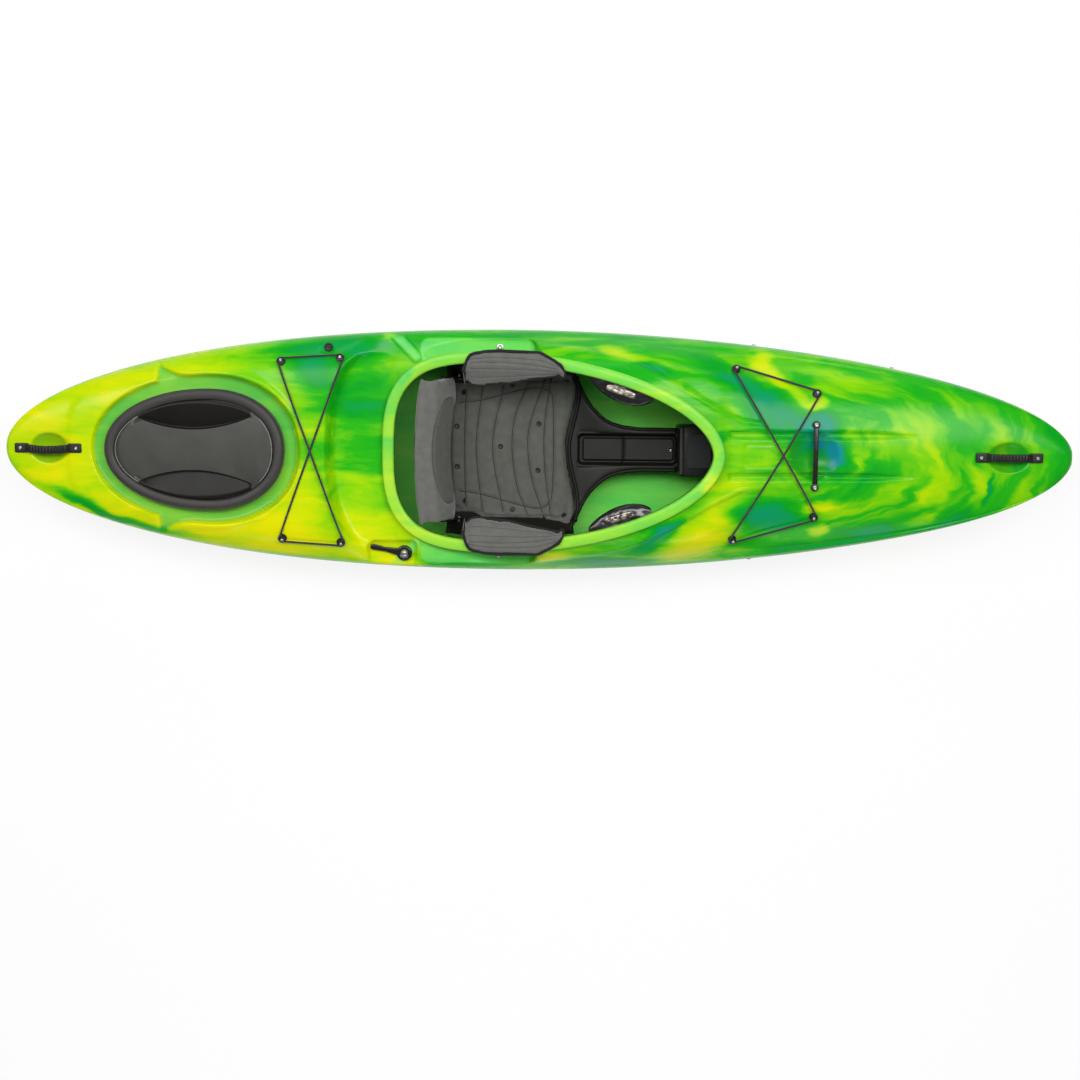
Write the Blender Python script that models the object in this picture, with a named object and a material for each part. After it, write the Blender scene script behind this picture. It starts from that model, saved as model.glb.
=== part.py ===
"""Crossover kayak: a rotomoulded hull with its deck fittings, skeg, hatch and cockpit outfitting.

Metres, +X to the bow, +Y to port, +Z up. The origin is under the middle of the boat, on the
ground that the flat of the keel rests on.
"""
import math

import bmesh
import bpy
import numpy as np
from mathutils import Matrix, Vector

# Hull; places across the boat are shares of its beam
LENGTH = 3.05
BEAM = 0.698
WALL = 0.0055
STERN_TIP_Z = 0.262
BOW_TIP_Z = 0.294
FLAT_AFT_X = -0.17
FLAT_FORE_X = 0.475
WIDEST_X = -0.055
FLAT_SHARE = 0.45
EDGE_Z = 0.250
EDGE_SHARE = 0.955
STERN_DECK_Z = 0.284
HATCH_DECK_Z = 0.304
LOW_DECK_Z = 0.256
FORE_DECK_Z = 0.362
BOW_DECK_Z = 0.3205
DECK_FALL = (-0.580, -0.440)
LOW_DECK_SHAPE = ((-0.400, 0.3754), (-0.440, 0.4054), (-0.480, 0.3997), (-0.513, 0.3811), (-0.535, 0.3438),
                  (-0.555, 0.2937), (-0.573, 0.2221), (-0.584, 0.1361), (-0.588, 0.0458))
LOW_DECK_SLOPE = 0.015

# Cockpit
COCKPIT_AFT_X = -0.414
COCKPIT_FORE_X = 0.493
COCKPIT_WIDEST_X = -0.130
COCKPIT_HALF = 0.3617 * BEAM
LIP_WIDTH = 0.033
LIP_HEIGHT = 0.012
RIM_WALL = 0.009
RIM_STAND = 0.022
RIM_AFT_Z = 0.278
RIM_PEAK_Z = 0.3925
RIM_PEAK_X = 0.360
RIM_FORE_Z = 0.379

# Hip ledges and skeg lever pocket
LEDGE_AFT_X = -0.330
LEDGE_FORE_X = -0.030
LEDGE_Z = 0.262
LEDGE_OUT_Y = 0.4613 * BEAM
POCKET_AFT_X = -0.487
POCKET_FORE_X = -0.352
POCKET_Z = 0.243
POCKET_IN_Y = 0.3754 * BEAM

# Stern hatch
HATCH_AFT_X = -1.237
HATCH_FORE_X = -0.725
HATCH_WIDEST_X = -0.940
HATCH_HALF = 0.2489 * BEAM
HATCH_SEAT_WIDTH = 0.036
HATCH_SEAT_Z = 0.274
NECK_INSET = 0.022
NECK_WALL = 0.0055
NECK_Z = 0.298
SEAL_WIDTH = 0.030
SEAL_FLANGE = 0.004
SEAL_Z = 0.314
PANEL_CROWN = 0.004
PANEL_PLATE = 0.009
GRIP_X = -0.965
GRIP_LENGTH = 0.300
GRIP_WIDTH = 0.078
GRIP_Y = 0.1311 * BEAM
GRIP_DEPTH = 0.020
GRIP_SKIN = 0.003

# Foredeck
GROOVE_Y = 0.059
GROOVE_WIDTH = 0.024
GROOVE_DEPTH = 0.007
GROOVE_AFT_X = 0.560
GROOVE_FORE_X = 1.060
BAR_X = 0.787
BAR_HALF_SPAN = 0.089
BAR_WIDTH = 0.017
BAR_THICKNESS = 0.006
BAR_DISH_RADIUS = 0.0735
BAR_DISH_DEPTH = 0.024

# Grab handles
STERN_HANDLE_X = -1.400
BOW_HANDLE_X = 1.338
HANDLE_LENGTH = 0.190
HANDLE_WIDTH = 0.027
HANDLE_TAB = 0.030
HANDLE_RISE = 0.033
STRAP = 0.004
GRIP_THICK = 0.014
GRIP_RIB = 0.0008
DISH_LENGTH = 0.112
DISH_WIDTH = 0.091
DISH_DEPTH = 0.018

# Bungees and their posts
CORD_RADIUS = 0.003
POST_RADIUS = 0.0125
POST_NECK = 0.0065
POST_BASE = 0.003
POST_TOP = 0.0026
POST_SPACE = 0.009
STERN_POSTS = ((-0.732, 0.3596 * BEAM), (-0.565, 0.3746 * BEAM))
BOW_POSTS = ((0.5575, 0.3438 * BEAM), (0.789, 0.2493 * BEAM))

# Drain plug
DRAIN_X = -0.600
DRAIN_Y = 0.4212 * BEAM
DRAIN_RADIUS = 0.013
DRAIN_STEM = 0.008
DRAIN_SEAT = 0.0025
DRAIN_LENGTH = 0.016

# Skeg
SKEG_PIVOT_X = -0.965
SKEG_PIVOT_Z = 0.068
SKEG_AFT_X = -1.258
SKEG_LOW_Z = 0.006
SKEG_THICKNESS = 0.006
SKEG_GAP = 0.0022
SKEG_PIN_RADIUS = 0.004
SKEG_BOX_WALL = 0.004
SKEG_BOX_TOP_Z = 0.226
SKEG_BOX_AFT_X = -1.272
SKEG_BOX_FORE_X = -0.930

# Skeg lever
LEVER_X = -0.385
LEVER_Y = -0.4262 * BEAM
LEVER_HUB_RADIUS = 0.0225
LEVER_HEIGHT = 0.013
LEVER_REACH = 0.100
LEVER_TIP_WIDTH = 0.017
LEVER_REST_DEG = 169.0
CABLE_RADIUS = 0.004

# Seat: heights of the pan along it, its wings, and its half section from the middle out
SEAT_ROWS = (-0.250, -0.200, -0.150, -0.070, 0.000, 0.050, 0.090, 0.125)
SEAT_PAN_Z = (0.064, 0.060, 0.060, 0.064, 0.074, 0.085, 0.093, 0.098)
SEAT_WING_Z = (0.165, 0.228, 0.2535, 0.2535, 0.238, 0.195, 0.155, 0.130)
SEAT_SHAPE = ((0.0, 0.0), (0.1003 * BEAM, 0.0), (0.2006 * BEAM, 0.002), (0.2579 * BEAM, 0.008),
              (0.2937 * BEAM, 0.022), (0.3188 * BEAM, 0.045))
WING_Y = 0.3503 * BEAM
SEAT_SKIN = 0.005
SPINE_HALF = 0.035
BEAM_HALF = 0.054
BEAM_Z = 0.105
BEAM_FORE_X = 0.468
BEAM_SKIN = 0.005
FLARE_FORE_X = 0.215
TRAY_AFT_X = 0.150
TRAY_FORE_X = 0.408
TRAY_HALF = 0.040
TRAY_DEPTH = 0.020
TRAY_BAR_X = 0.2525
TRAY_BAR = 0.004
BLOCK_AFT_X = 0.413
BLOCK_FORE_X = 0.517
BLOCK_HALF = 0.075
BLOCK_Z = 0.165
TAB_HALF_LENGTH = 0.040
TAB_OUT_Y = 0.4470 * BEAM
TAB_THICK = 0.006
KNOB_X = 0.392
KNOB_RADIUS = 0.011
KNOB_HEIGHT = 0.012
KNOB_STEM = 0.004
KNOB_STEM_LENGTH = 0.050
PAD_HALF = 0.2808 * BEAM
PAD_THICK = 0.026
PAD_AFT_X = -0.236
PAD_FORE_X = 0.112
PAD_CHANNELS = 6
PAD_CHANNEL_DEPTH = 0.004
PAD_GAP = 0.0008
HIP_SCREW_X = -0.111
HIP_SCREW_Y = 0.4277 * BEAM

# Backrest
BACK_PIVOT_X = -0.235
BACK_PIVOT_Z = 0.106
BACK_FOOT_X = -0.298
BACK_BOTTOM_Z = 0.135
BACK_TOP_Z = 0.300
BACK_LEAN = 0.34
BACK_HALF = 0.2794 * BEAM
BACK_SKIN = 0.005
BACK_BOW = 0.030
BACK_PAD = 0.046
BACK_PAD_HALF = 0.2880 * BEAM
BACK_PAD_GAP = 0.0008
ARM_IN_Y = 0.2951 * BEAM
ARM_OUT_Y = 0.3023 * BEAM
BACK_BOLT = 0.005

# Hip pads
HIP_AFT_X = -0.215
HIP_FORE_X = 0.075
HIP_REACH = 0.046
HIP_THICK = 0.015
HIP_DROP = 0.050

# Thigh braces
BRACE_AFT_X = 0.150
BRACE_FORE_X = 0.320
BRACE_THICK = 0.012
BRACE_REACH = 0.050

# Foot braces
RAIL_AFT_X = 0.600
RAIL_FORE_X = 1.045
RAIL_Z = 0.188
RAIL_HEIGHT = 0.028
RAIL_THICK = 0.009
RAIL_STANDOFF = 0.006
RAIL_SCREWS = (0.622, 1.024)
RAIL_BOSS = 0.009
PEDAL_X = 0.800
PEDAL_LENGTH = 0.050
PEDAL_REACH = 0.075
PEDAL_HEIGHT = 0.120
PEDAL_THICK = 0.007
CLIP_THICK = 0.004

# Foam
BULKHEAD_X = -0.532
BULKHEAD_THICK = 0.050
BULKHEAD_HALF = 0.4212 * BEAM
PILLAR_AFT_X = 0.560
PILLAR_FORE_X = 1.200
PILLAR_THICK = 0.060

# Fasteners
SCREW_RADIUS = 0.0022
SCREW_HEAD = 0.0055
BOLT_RADIUS = 0.003
BOLT_HEAD = 0.0065
BOLT_LENGTH = 0.014

FIT = 0.0003
HOLE_FIT = 0.0006
LINING_GAP = 0.0010
CUT = 0.010
HALF = LENGTH / 2
SMOOTH_ANGLE = math.radians(38)

MATERIALS = {
    "green_pe": ((0.20, 0.62, 0.05), 0.35, 0.0),
    "grey_rubber": ((0.10, 0.10, 0.10), 0.65, 0.0),
    "grey_pe": ((0.13, 0.13, 0.11), 0.45, 0.0),
    "black_plastic": ((0.02, 0.02, 0.02), 0.45, 0.0),
    "black_cord": ((0.015, 0.015, 0.015), 0.80, 0.0),
    "steel": ((0.62, 0.62, 0.60), 0.25, 1.0),
    "black_foam": ((0.04, 0.04, 0.04), 0.90, 0.0),
    "grey_fabric": ((0.16, 0.16, 0.14), 0.90, 0.0),
    "skeg_plastic": ((0.045, 0.045, 0.045), 0.50, 0.0),
}


# Scene, collections and materials
def clear_scene():
    for old in list(bpy.data.objects):
        bpy.data.objects.remove(old, do_unlink=True)


def collection(name):
    made = bpy.data.collections.new(name)
    bpy.context.scene.collection.children.link(made)
    return made


def principled(name):
    colour, roughness, metallic = MATERIALS[name]
    made = bpy.data.materials.get(name) or bpy.data.materials.new(name)
    made.use_nodes = True
    shader = made.node_tree.nodes["Principled BSDF"]
    shader.inputs["Base Color"].default_value = (*colour, 1.0)
    shader.inputs["Roughness"].default_value = roughness
    shader.inputs["Metallic"].default_value = metallic
    return made


clear_scene()
PARTS = collection("crossover_kayak")
CUTTERS = collection("cutters")


def add_part(name, mesh, finish, smooth=True):
    """A named piece of the boat, with its own material."""
    made = bpy.data.objects.new(name, mesh)
    mesh.materials.clear()
    mesh.materials.append(principled(finish))
    PARTS.objects.link(made)
    if smooth:
        mesh.shade_smooth()
        mesh.set_sharp_from_angle(angle=SMOOTH_ANGLE)
    return made


def add_cutter(name, mesh):
    """A shape that only cuts, joins or trims a piece."""
    made = bpy.data.objects.new(name, mesh)
    CUTTERS.objects.link(made)
    made.hide_render = True
    made.display_type = "WIRE"
    return made


def boolean(target, tool, operation):
    step = target.modifiers.new(operation.lower() + "_" + tool.name, "BOOLEAN")
    step.operation = operation
    step.solver = "EXACT"
    step.object = tool


def weld(target):
    """Closes the hairline gaps that a row of Booleans can leave."""
    step = target.modifiers.new("weld", "WELD")
    step.merge_threshold = 0.00004


# Mesh builders
def mesh_from(name, bm):
    bmesh.ops.recalc_face_normals(bm, faces=bm.faces)
    mesh = bpy.data.meshes.new(name)
    bm.to_mesh(mesh)
    bm.free()
    return mesh


def loft(name, rings, closed=False):
    """Skins a list of closed rings of points; the ends are capped unless the loft is a ring too."""
    bm = bmesh.new()
    rows = [[bm.verts.new(point) for point in ring] for ring in rings]
    count = len(rows[0])
    last = len(rows) if closed else len(rows) - 1
    for i in range(last):
        row, following = rows[i], rows[(i + 1) % len(rows)]
        for j in range(count):
            k = (j + 1) % count
            bm.faces.new((row[j], row[k], following[k], following[j]))
    if not closed:
        bm.faces.new(rows[0])
        bm.faces.new(rows[-1])
    return mesh_from(name, bm)


def prism(name, outline, low, high):
    """An outline in the XY plane, stood up from low to high."""
    return loft(name, [[(x, y, low) for x, y in outline], [(x, y, high) for x, y in outline]])


def slab(name, outline, near, far):
    """An outline in the XZ plane, thickened along Y from near to far."""
    return loft(name, [[(x, near, z) for x, z in outline], [(x, far, z) for x, z in outline]])


def box(name, low, high):
    bm = bmesh.new()
    bmesh.ops.create_cube(bm, size=1.0)
    size = [b - a for a, b in zip(low, high)]
    middle = [(a + b) / 2 for a, b in zip(low, high)]
    bmesh.ops.scale(bm, vec=size, verts=bm.verts)
    bmesh.ops.translate(bm, vec=middle, verts=bm.verts)
    return mesh_from(name, bm)


def rod(name, start, end, radius, sides=16):
    """A cylinder between two points."""
    start, end = Vector(start), Vector(end)
    along = end - start
    bm = bmesh.new()
    bmesh.ops.create_cone(bm, cap_ends=True, segments=sides, radius1=radius, radius2=radius,
                          depth=along.length)
    turn = along.to_track_quat("Z", "Y").to_matrix().to_4x4() @ Matrix.Rotation(0.2, 4, "Z")
    bmesh.ops.transform(bm, matrix=Matrix.Translation((start + end) / 2) @ turn, verts=bm.verts)
    return mesh_from(name, bm)


def turned(name, profile, centre, direction=(0, 0, 1), sides=20):
    """A profile of (radius, height) pairs turned about an axis through the centre."""
    turn = Vector(direction).to_track_quat("Z", "Y").to_matrix()
    rings = []
    for radius, height in profile:
        ring = []
        for i in range(sides):
            angle = 2 * math.pi * i / sides
            spot = Vector((radius * math.cos(angle), radius * math.sin(angle), height))
            ring.append(Vector(centre) + turn @ spot)
        rings.append(ring)
    return loft(name, rings)


def tube(name, points, radius, cyclic=False):
    """A round cord or tube along a list of points, as one closed mesh."""
    line = bpy.data.curves.new(name, "CURVE")
    line.dimensions = "3D"
    line.bevel_depth = radius
    line.bevel_resolution = 1
    line.use_fill_caps = not cyclic
    spline = line.splines.new("POLY")
    spline.points.add(len(points) - 1)
    for spot, point in zip(spline.points, points):
        spot.co = (*point, 1.0)
    spline.use_cyclic_u = cyclic
    guide = bpy.data.objects.new(name + "_line", line)
    PARTS.objects.link(guide)
    mesh = bpy.data.meshes.new_from_object(guide.evaluated_get(bpy.context.evaluated_depsgraph_get()))
    bpy.data.objects.remove(guide, do_unlink=True)
    bpy.data.curves.remove(line)
    bm = bmesh.new()
    bm.from_mesh(mesh)
    bmesh.ops.remove_doubles(bm, verts=bm.verts, dist=0.00001)
    bpy.data.meshes.remove(mesh)
    return mesh_from(name, bm)


# Hull form
def smoothstep(value, low, high):
    share = min(1.0, max(0.0, (value - low) / (high - low)))
    return share * share * (3 - 2 * share)


def half_beam(x):
    """Half the width of the hull at its widest, for each place along it."""
    fore = x > WIDEST_X
    share = (x - WIDEST_X) / ((HALF if fore else -HALF) - WIDEST_X)
    return BEAM / 2 * math.sqrt(max(0.0, 1 - min(share, 1.0) ** (1.83 if fore else 2.2)))


def rocker(share, tip, lift, power):
    """The keel line: a slow rise plus a quarter round at the tip."""
    share = min(max(share, 0.0), 1.0)
    return tip * (lift * share ** 2 + (1 - lift) * (1 - math.sqrt(1 - share ** power)))


def keel_z(x):
    if x > FLAT_FORE_X:
        return rocker((x - FLAT_FORE_X) / (HALF - FLAT_FORE_X), BOW_TIP_Z, 0.51, 5.7)
    return rocker((FLAT_AFT_X - x) / (HALF + FLAT_AFT_X), STERN_TIP_Z, 0.31, 4.3)


def edge_z(x):
    """Height of the crease between side and deck, which lifts towards both ends."""
    if x > 0:
        return EDGE_Z + (BOW_TIP_Z + 0.008 - EDGE_Z) * smoothstep(x, 0.55 * HALF, 0.98 * HALF)
    return EDGE_Z + (STERN_TIP_Z + 0.012 - EDGE_Z) * smoothstep(-x, 0.75 * HALF, HALF)


def rim_z(x):
    """Top of the coaming: low behind the back, highest over the knees."""
    if x > RIM_PEAK_X:
        share = (x - RIM_PEAK_X) / (COCKPIT_FORE_X + LIP_WIDTH - RIM_PEAK_X)
        return RIM_PEAK_Z - (RIM_PEAK_Z - RIM_FORE_Z) * min(share, 1.2) ** 2
    share = (RIM_PEAK_X - x) / (RIM_PEAK_X - COCKPIT_AFT_X + LIP_WIDTH)
    share = min(max(share, 0.0), 1.0)
    return RIM_AFT_Z + (RIM_PEAK_Z - RIM_AFT_Z) * (0.5 + 0.5 * math.cos(math.pi * share)) ** 0.88


def egg_half(x, aft, fore, widest, half, power_aft, power_fore):
    """Half width of an egg-shaped outline at x."""
    if x > widest:
        share, power = (x - widest) / (fore - widest), power_fore
    else:
        share, power = (widest - x) / (widest - aft), power_aft
    return half * max(0.0, 1 - min(share, 1.0) ** power) ** (1 / power)


def egg(aft, fore, widest, half, power_aft, power_fore, count, grow=0.0):
    """An egg-shaped outline, moved out by grow, counter-clockwise from the fore end."""
    spots = []
    for i in range(count):
        angle = 2 * math.pi * (i + 0.5) / count
        c, s = math.cos(angle), math.sin(angle)
        reach, power = (fore - widest, power_fore) if c > 0 else (widest - aft, power_aft)
        x = widest + reach * math.copysign(abs(c) ** (2 / power), c)
        y = half * math.copysign(abs(s) ** (2 / power), s)
        spots.append(Vector((x, y)))
    moved = []
    for i, spot in enumerate(spots):
        along = spots[(i + 1) % count] - spots[i - 1]
        moved.append(spot + Vector((along.y, -along.x)).normalized() * grow)
    return [(spot.x, spot.y) for spot in moved]


def cockpit_outline(grow=0.0, count=44):
    return egg(COCKPIT_AFT_X, COCKPIT_FORE_X, COCKPIT_WIDEST_X, COCKPIT_HALF, 3.1, 1.82, count, grow)


def hatch_outline(grow=0.0, count=36):
    return egg(HATCH_AFT_X, HATCH_FORE_X, HATCH_WIDEST_X, HATCH_HALF, 2.05, 2.15, count, grow)


def crown_power(x):
    """How square the deck's cross-section is: a soft arch at the bow, boxy by the cockpit."""
    if x > 0:
        return 6.5 - 4.1 * smoothstep(x, COCKPIT_FORE_X * 0.6, COCKPIT_FORE_X + 0.20)
    return 6.5 - 2.5 * smoothstep(-x, 0.75 * HALF, 0.95 * HALF)


def deck_ridge_z(x):
    """Height of the deck on the centreline, or where it would be over the cockpit."""
    lip_aft = COCKPIT_AFT_X - LIP_WIDTH
    lip_fore = COCKPIT_FORE_X + LIP_WIDTH
    if x < lip_aft:
        hump = STERN_DECK_Z + (HATCH_DECK_Z - STERN_DECK_Z) * smoothstep(x, -0.95 * HALF, HATCH_FORE_X)
        nose = 0.014
        tip = max(0.0, nose - (x + HALF))
        hump -= nose - math.sqrt(max(0.0, nose ** 2 - tip ** 2))
        return hump + (LOW_DECK_Z + 0.004 - hump) * smoothstep(x, *DECK_FALL)
    if x > lip_fore:
        share = smoothstep(x, lip_fore - 0.20, 0.66 * HALF)
        ridge = FORE_DECK_Z + (BOW_DECK_Z - FORE_DECK_Z) * share
        nose = BOW_DECK_Z - BOW_TIP_Z
        tip = max(0.0, nose - (HALF - x))
        return ridge - nose + math.sqrt(max(0.0, nose ** 2 - tip ** 2))
    half = egg_half(x, lip_aft, lip_fore, COCKPIT_WIDEST_X, COCKPIT_HALF + LIP_WIDTH, 3.1, 1.9)
    base = rim_z(x) - RIM_STAND
    crown = 1 - (half / (EDGE_SHARE * half_beam(x))) ** crown_power(x)
    return edge_z(x) + max(0.0, base - edge_z(x)) / max(crown, 0.25)


def deck_z(x, y):
    """Height of the bare deck at a place inside the crease."""
    share = min(1.0, abs(y) / (EDGE_SHARE * half_beam(x)))
    return edge_z(x) + (deck_ridge_z(x) - edge_z(x)) * (1 - share ** crown_power(x))


def half_section(x, side_steps, deck_steps):
    """Half a cross-section from the keel round to the deck's centreline, as (y, z) pairs."""
    half, keel, edge, ridge = half_beam(x), keel_z(x), edge_z(x), deck_ridge_z(x)
    keel, edge = min(keel, ridge - 0.004), min(edge, ridge - 0.001)
    fullness = 1 - smoothstep(abs(x), 0.62 * HALF, HALF)
    flat = FLAT_SHARE * half * (0.35 + 0.65 * fullness)
    power = 2.1 + 0.9 * fullness
    widest = keel + 0.75 * (edge - keel)
    points = [(0.0, keel), (flat, keel)]
    for i in range(1, side_steps + 1):
        angle = math.pi / 2 * i / side_steps
        out = math.sin(angle) ** (2 / power)
        up = math.cos(angle) ** (2 / power)
        points.append((flat + (half - flat) * out, widest - (widest - keel) * up))
    crease = EDGE_SHARE * half
    points.append((half - (half - crease) * 0.3, widest + (edge - widest) * 0.62))
    for i in range(deck_steps):
        share = math.cos(math.pi / 2 * i / deck_steps) ** 0.7
        points.append((crease * share, edge + (ridge - edge) * (1 - share ** crown_power(x))))
    points.append((0.0, ridge))
    return points


def section(x, side_steps, deck_steps, inset=0.0):
    """A whole cross-section, port side first, moved in by inset."""
    half = half_section(x, side_steps, deck_steps)
    ring = [Vector(p) for p in half] + [Vector((-y, z)) for y, z in half[-2:0:-1]]
    count = len(ring)
    moved = []
    for i, spot in enumerate(ring):
        along = ring[(i + 1) % count] - ring[i - 1]
        moved.append(spot + Vector((-along.y, along.x)).normalized() * inset)
    return moved


def hull_stations():
    """Places along the hull where a section is drawn, closer together at the tips and the step."""
    tips = [HALF * (1 - 0.0008 - 0.11 * (1 - math.cos(math.pi / 2 * i / 5)) ** 1.4) for i in range(6)]
    fall = np.linspace(DECK_FALL[0], DECK_FALL[1], 5)
    aft = np.linspace(-HALF * 0.85, fall[0] - 0.08, 8)
    middle = np.linspace(fall[-1] + 0.04, COCKPIT_FORE_X + LIP_WIDTH + 0.02, 13)
    fore = np.linspace(COCKPIT_FORE_X + 0.12, HALF * 0.85, 10)
    return sorted([-x for x in tips] + list(aft) + list(fall) + list(middle) + list(fore) + tips)


def inner_stations():
    """The places that the inside of the shell is drawn at: its ends, and every other one between."""
    inside = hull_stations()[3:-3]
    return inside[:2] + inside[3:-3:2] + inside[-2:]


def hull_loft(name, stations, side_steps, deck_steps, inset=0.0):
    shrink = (HALF - inset) / HALF
    rings = []
    for x in stations:
        spots = section(x, side_steps, deck_steps, inset)
        rings.append([(x * shrink, spot.x, spot.y) for spot in spots])
    return loft(name, rings)


# Recesses, each of which also pushes the inside of the shell in by the wall
def dish(name, x, length, width, depth, grow=0.0):
    """A shallow bowl in the deck: the bottom of an ellipsoid."""
    sphere = (length ** 2 / 4 + depth ** 2) / (2 * depth)
    top = deck_ridge_z(x)
    bm = bmesh.new()
    bmesh.ops.create_uvsphere(bm, u_segments=20, v_segments=16, radius=sphere + grow)
    bmesh.ops.scale(bm, vec=(1, (width + 2 * grow) / (length + 2 * grow), 1), verts=bm.verts)
    bmesh.ops.translate(bm, vec=(x, 0, top - depth + sphere), verts=bm.verts)
    low = top + CUT
    bmesh.ops.bisect_plane(bm, geom=bm.verts[:] + bm.edges[:] + bm.faces[:], plane_co=(0, 0, low),
                           plane_no=(0, 0, 1), clear_outer=True)
    bmesh.ops.holes_fill(bm, edges=[e for e in bm.edges if e.is_boundary])
    return mesh_from(name, bm)


def groove(name, side, grow=0.0):
    """A long groove beside the foredeck's centre panel, pointed at its fore end."""
    rings = []
    depth = GROOVE_DEPTH + grow
    for i in range(9):
        share = i / 8
        x = GROOVE_AFT_X + (GROOVE_FORE_X - GROOVE_AFT_X) * share - grow * (i == 0) + grow * (i == 8)
        half = GROOVE_WIDTH / 2 * min(1.0, (1.02 - share) * 4) ** 0.7 + grow
        low = deck_z(x, GROOVE_Y)
        y = side * GROOVE_Y
        fade = min(1.0, (1.06 - share) * 4)
        profile = ((-1.15, CUT), (-1.0, -0.001), (-0.45, -depth * fade), (0.45, -depth * fade),
                   (1.0, -0.001), (1.15, CUT))
        rings.append([(x, y + half * out, low + up) for out, up in profile])
    return loft(name, rings)


def rounded(low_x, high_x, low_y, high_y, radius, steps=4):
    """A rectangle with round corners, counter-clockwise."""
    corners = ((high_x - radius, high_y - radius, 0), (low_x + radius, high_y - radius, 90),
               (low_x + radius, low_y + radius, 180), (high_x - radius, low_y + radius, 270))
    spots = []
    for x, y, start in corners:
        for i in range(steps + 1):
            angle = math.radians(start + 90 * i / steps)
            spots.append((x + radius * math.cos(angle), y + radius * math.sin(angle)))
    return spots


def ledge(name, side, grow=0.0):
    """The flat ledge beside each hip, cut into the side of the deck."""
    inner, outer = COCKPIT_HALF - 0.004 - grow, LEDGE_OUT_Y + grow
    low_y, high_y = (inner, outer) if side > 0 else (-outer, -inner)
    outline = rounded(LEDGE_AFT_X - grow, LEDGE_FORE_X + grow, low_y, high_y, 0.028)
    return prism(name, outline, LEDGE_Z - grow, RIM_PEAK_Z)


def low_deck(name, grow=0.0):
    """The sunk deck behind the coaming, with a sloped step up to the hatch deck."""
    rings = []
    for slope, z in ((0.0, LOW_DECK_Z - grow), (LOW_DECK_SLOPE, RIM_PEAK_Z)):
        reach = slope * (z - LOW_DECK_Z) / 0.05 + grow
        half = [(x - reach * (x < -0.41), y * BEAM + reach * 0.4) for x, y in LOW_DECK_SHAPE]
        rings.append([(x, y, z) for x, y in half] + [(x, -y, z) for x, y in reversed(half)])
    return loft(name, rings)


def lever_pocket(name, grow=0.0):
    """The flat pocket that the skeg lever lies in, open to the starboard side."""
    outline = rounded(POCKET_AFT_X - grow, POCKET_FORE_X + grow, -BEAM / 2 - 0.05, -POCKET_IN_Y + grow,
                      0.018)
    return prism(name, outline, POCKET_Z - grow, RIM_PEAK_Z)


def hatch_seat(name, grow=0.0):
    """The sunk ring round the stern hatch."""
    outline = hatch_outline(HATCH_SEAT_WIDTH + grow)
    return prism(name, outline, HATCH_SEAT_Z - grow, HATCH_SEAT_Z + 0.06)


def drain_seat(name, grow=0.0):
    """The small flat that the drain plug's flange lies on."""
    low = drain_z() - grow
    return rod(name, (DRAIN_X, DRAIN_Y, low), (DRAIN_X, DRAIN_Y, low + 0.05), DRAIN_RADIUS + 0.003 + grow)


def drain_z():
    return deck_z(DRAIN_X, DRAIN_Y) - DRAIN_SEAT


def cut_recesses(target, tag, grow):
    """Takes every recess out of a solid, each one grown by the same amount."""
    recesses = [
        dish("stern_dish" + tag, STERN_HANDLE_X, DISH_LENGTH, DISH_WIDTH, DISH_DEPTH, grow),
        dish("bow_dish" + tag, BOW_HANDLE_X, DISH_LENGTH * 1.1, DISH_WIDTH, DISH_DEPTH, grow),
        dish("bar_dish" + tag, BAR_X, 2 * BAR_DISH_RADIUS, 2 * BAR_DISH_RADIUS, BAR_DISH_DEPTH, grow),
        groove("port_groove" + tag, 1, grow),
        groove("starboard_groove" + tag, -1, grow),
        ledge("port_ledge" + tag, 1, grow),
        ledge("starboard_ledge" + tag, -1, grow),
        low_deck("low_deck" + tag, grow),
        lever_pocket("lever_pocket" + tag, grow),
        hatch_seat("hatch_seat" + tag, grow),
        drain_seat("drain_seat" + tag, grow),
    ]
    for mesh in recesses:
        boolean(target, add_cutter(mesh.name, mesh), "DIFFERENCE")


def rim_foot_z(x):
    """How far down the coaming's wall goes: to the middle of the shell that it stands on."""
    foot = rim_z(x) - RIM_STAND - WALL / 2
    beside_ledge = 1 - smoothstep(x, LEDGE_FORE_X, LEDGE_FORE_X + 0.06)
    return foot + (min(foot, LEDGE_Z - WALL / 2) - foot) * beside_ledge


def coaming_ring():
    """The cockpit rim: a wall on the deck with a lip that a spray skirt grips."""
    inner = cockpit_outline()
    outer = cockpit_outline(1.0)
    under = -LIP_HEIGHT
    spare = -CUT
    rings = []
    for (x, y), (far_x, far_y) in zip(inner, outer):
        out_x, out_y = far_x - x, far_y - y
        high = rim_z(x)
        foot = rim_foot_z(x) - high
        profile = ((spare, foot), (spare, 0.0), (LIP_WIDTH - 0.004, 0.0), (LIP_WIDTH, -0.004),
                   (LIP_WIDTH, under - 0.003), (LIP_WIDTH - 0.003, under - 0.003),
                   (RIM_WALL + 0.004, under), (RIM_WALL, under - 0.003), (RIM_WALL, foot))
        rings.append([(x + out_x * r, y + out_y * r, high + z) for r, z in profile])
    return loft("coaming_ring", rings, closed=True)


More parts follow.
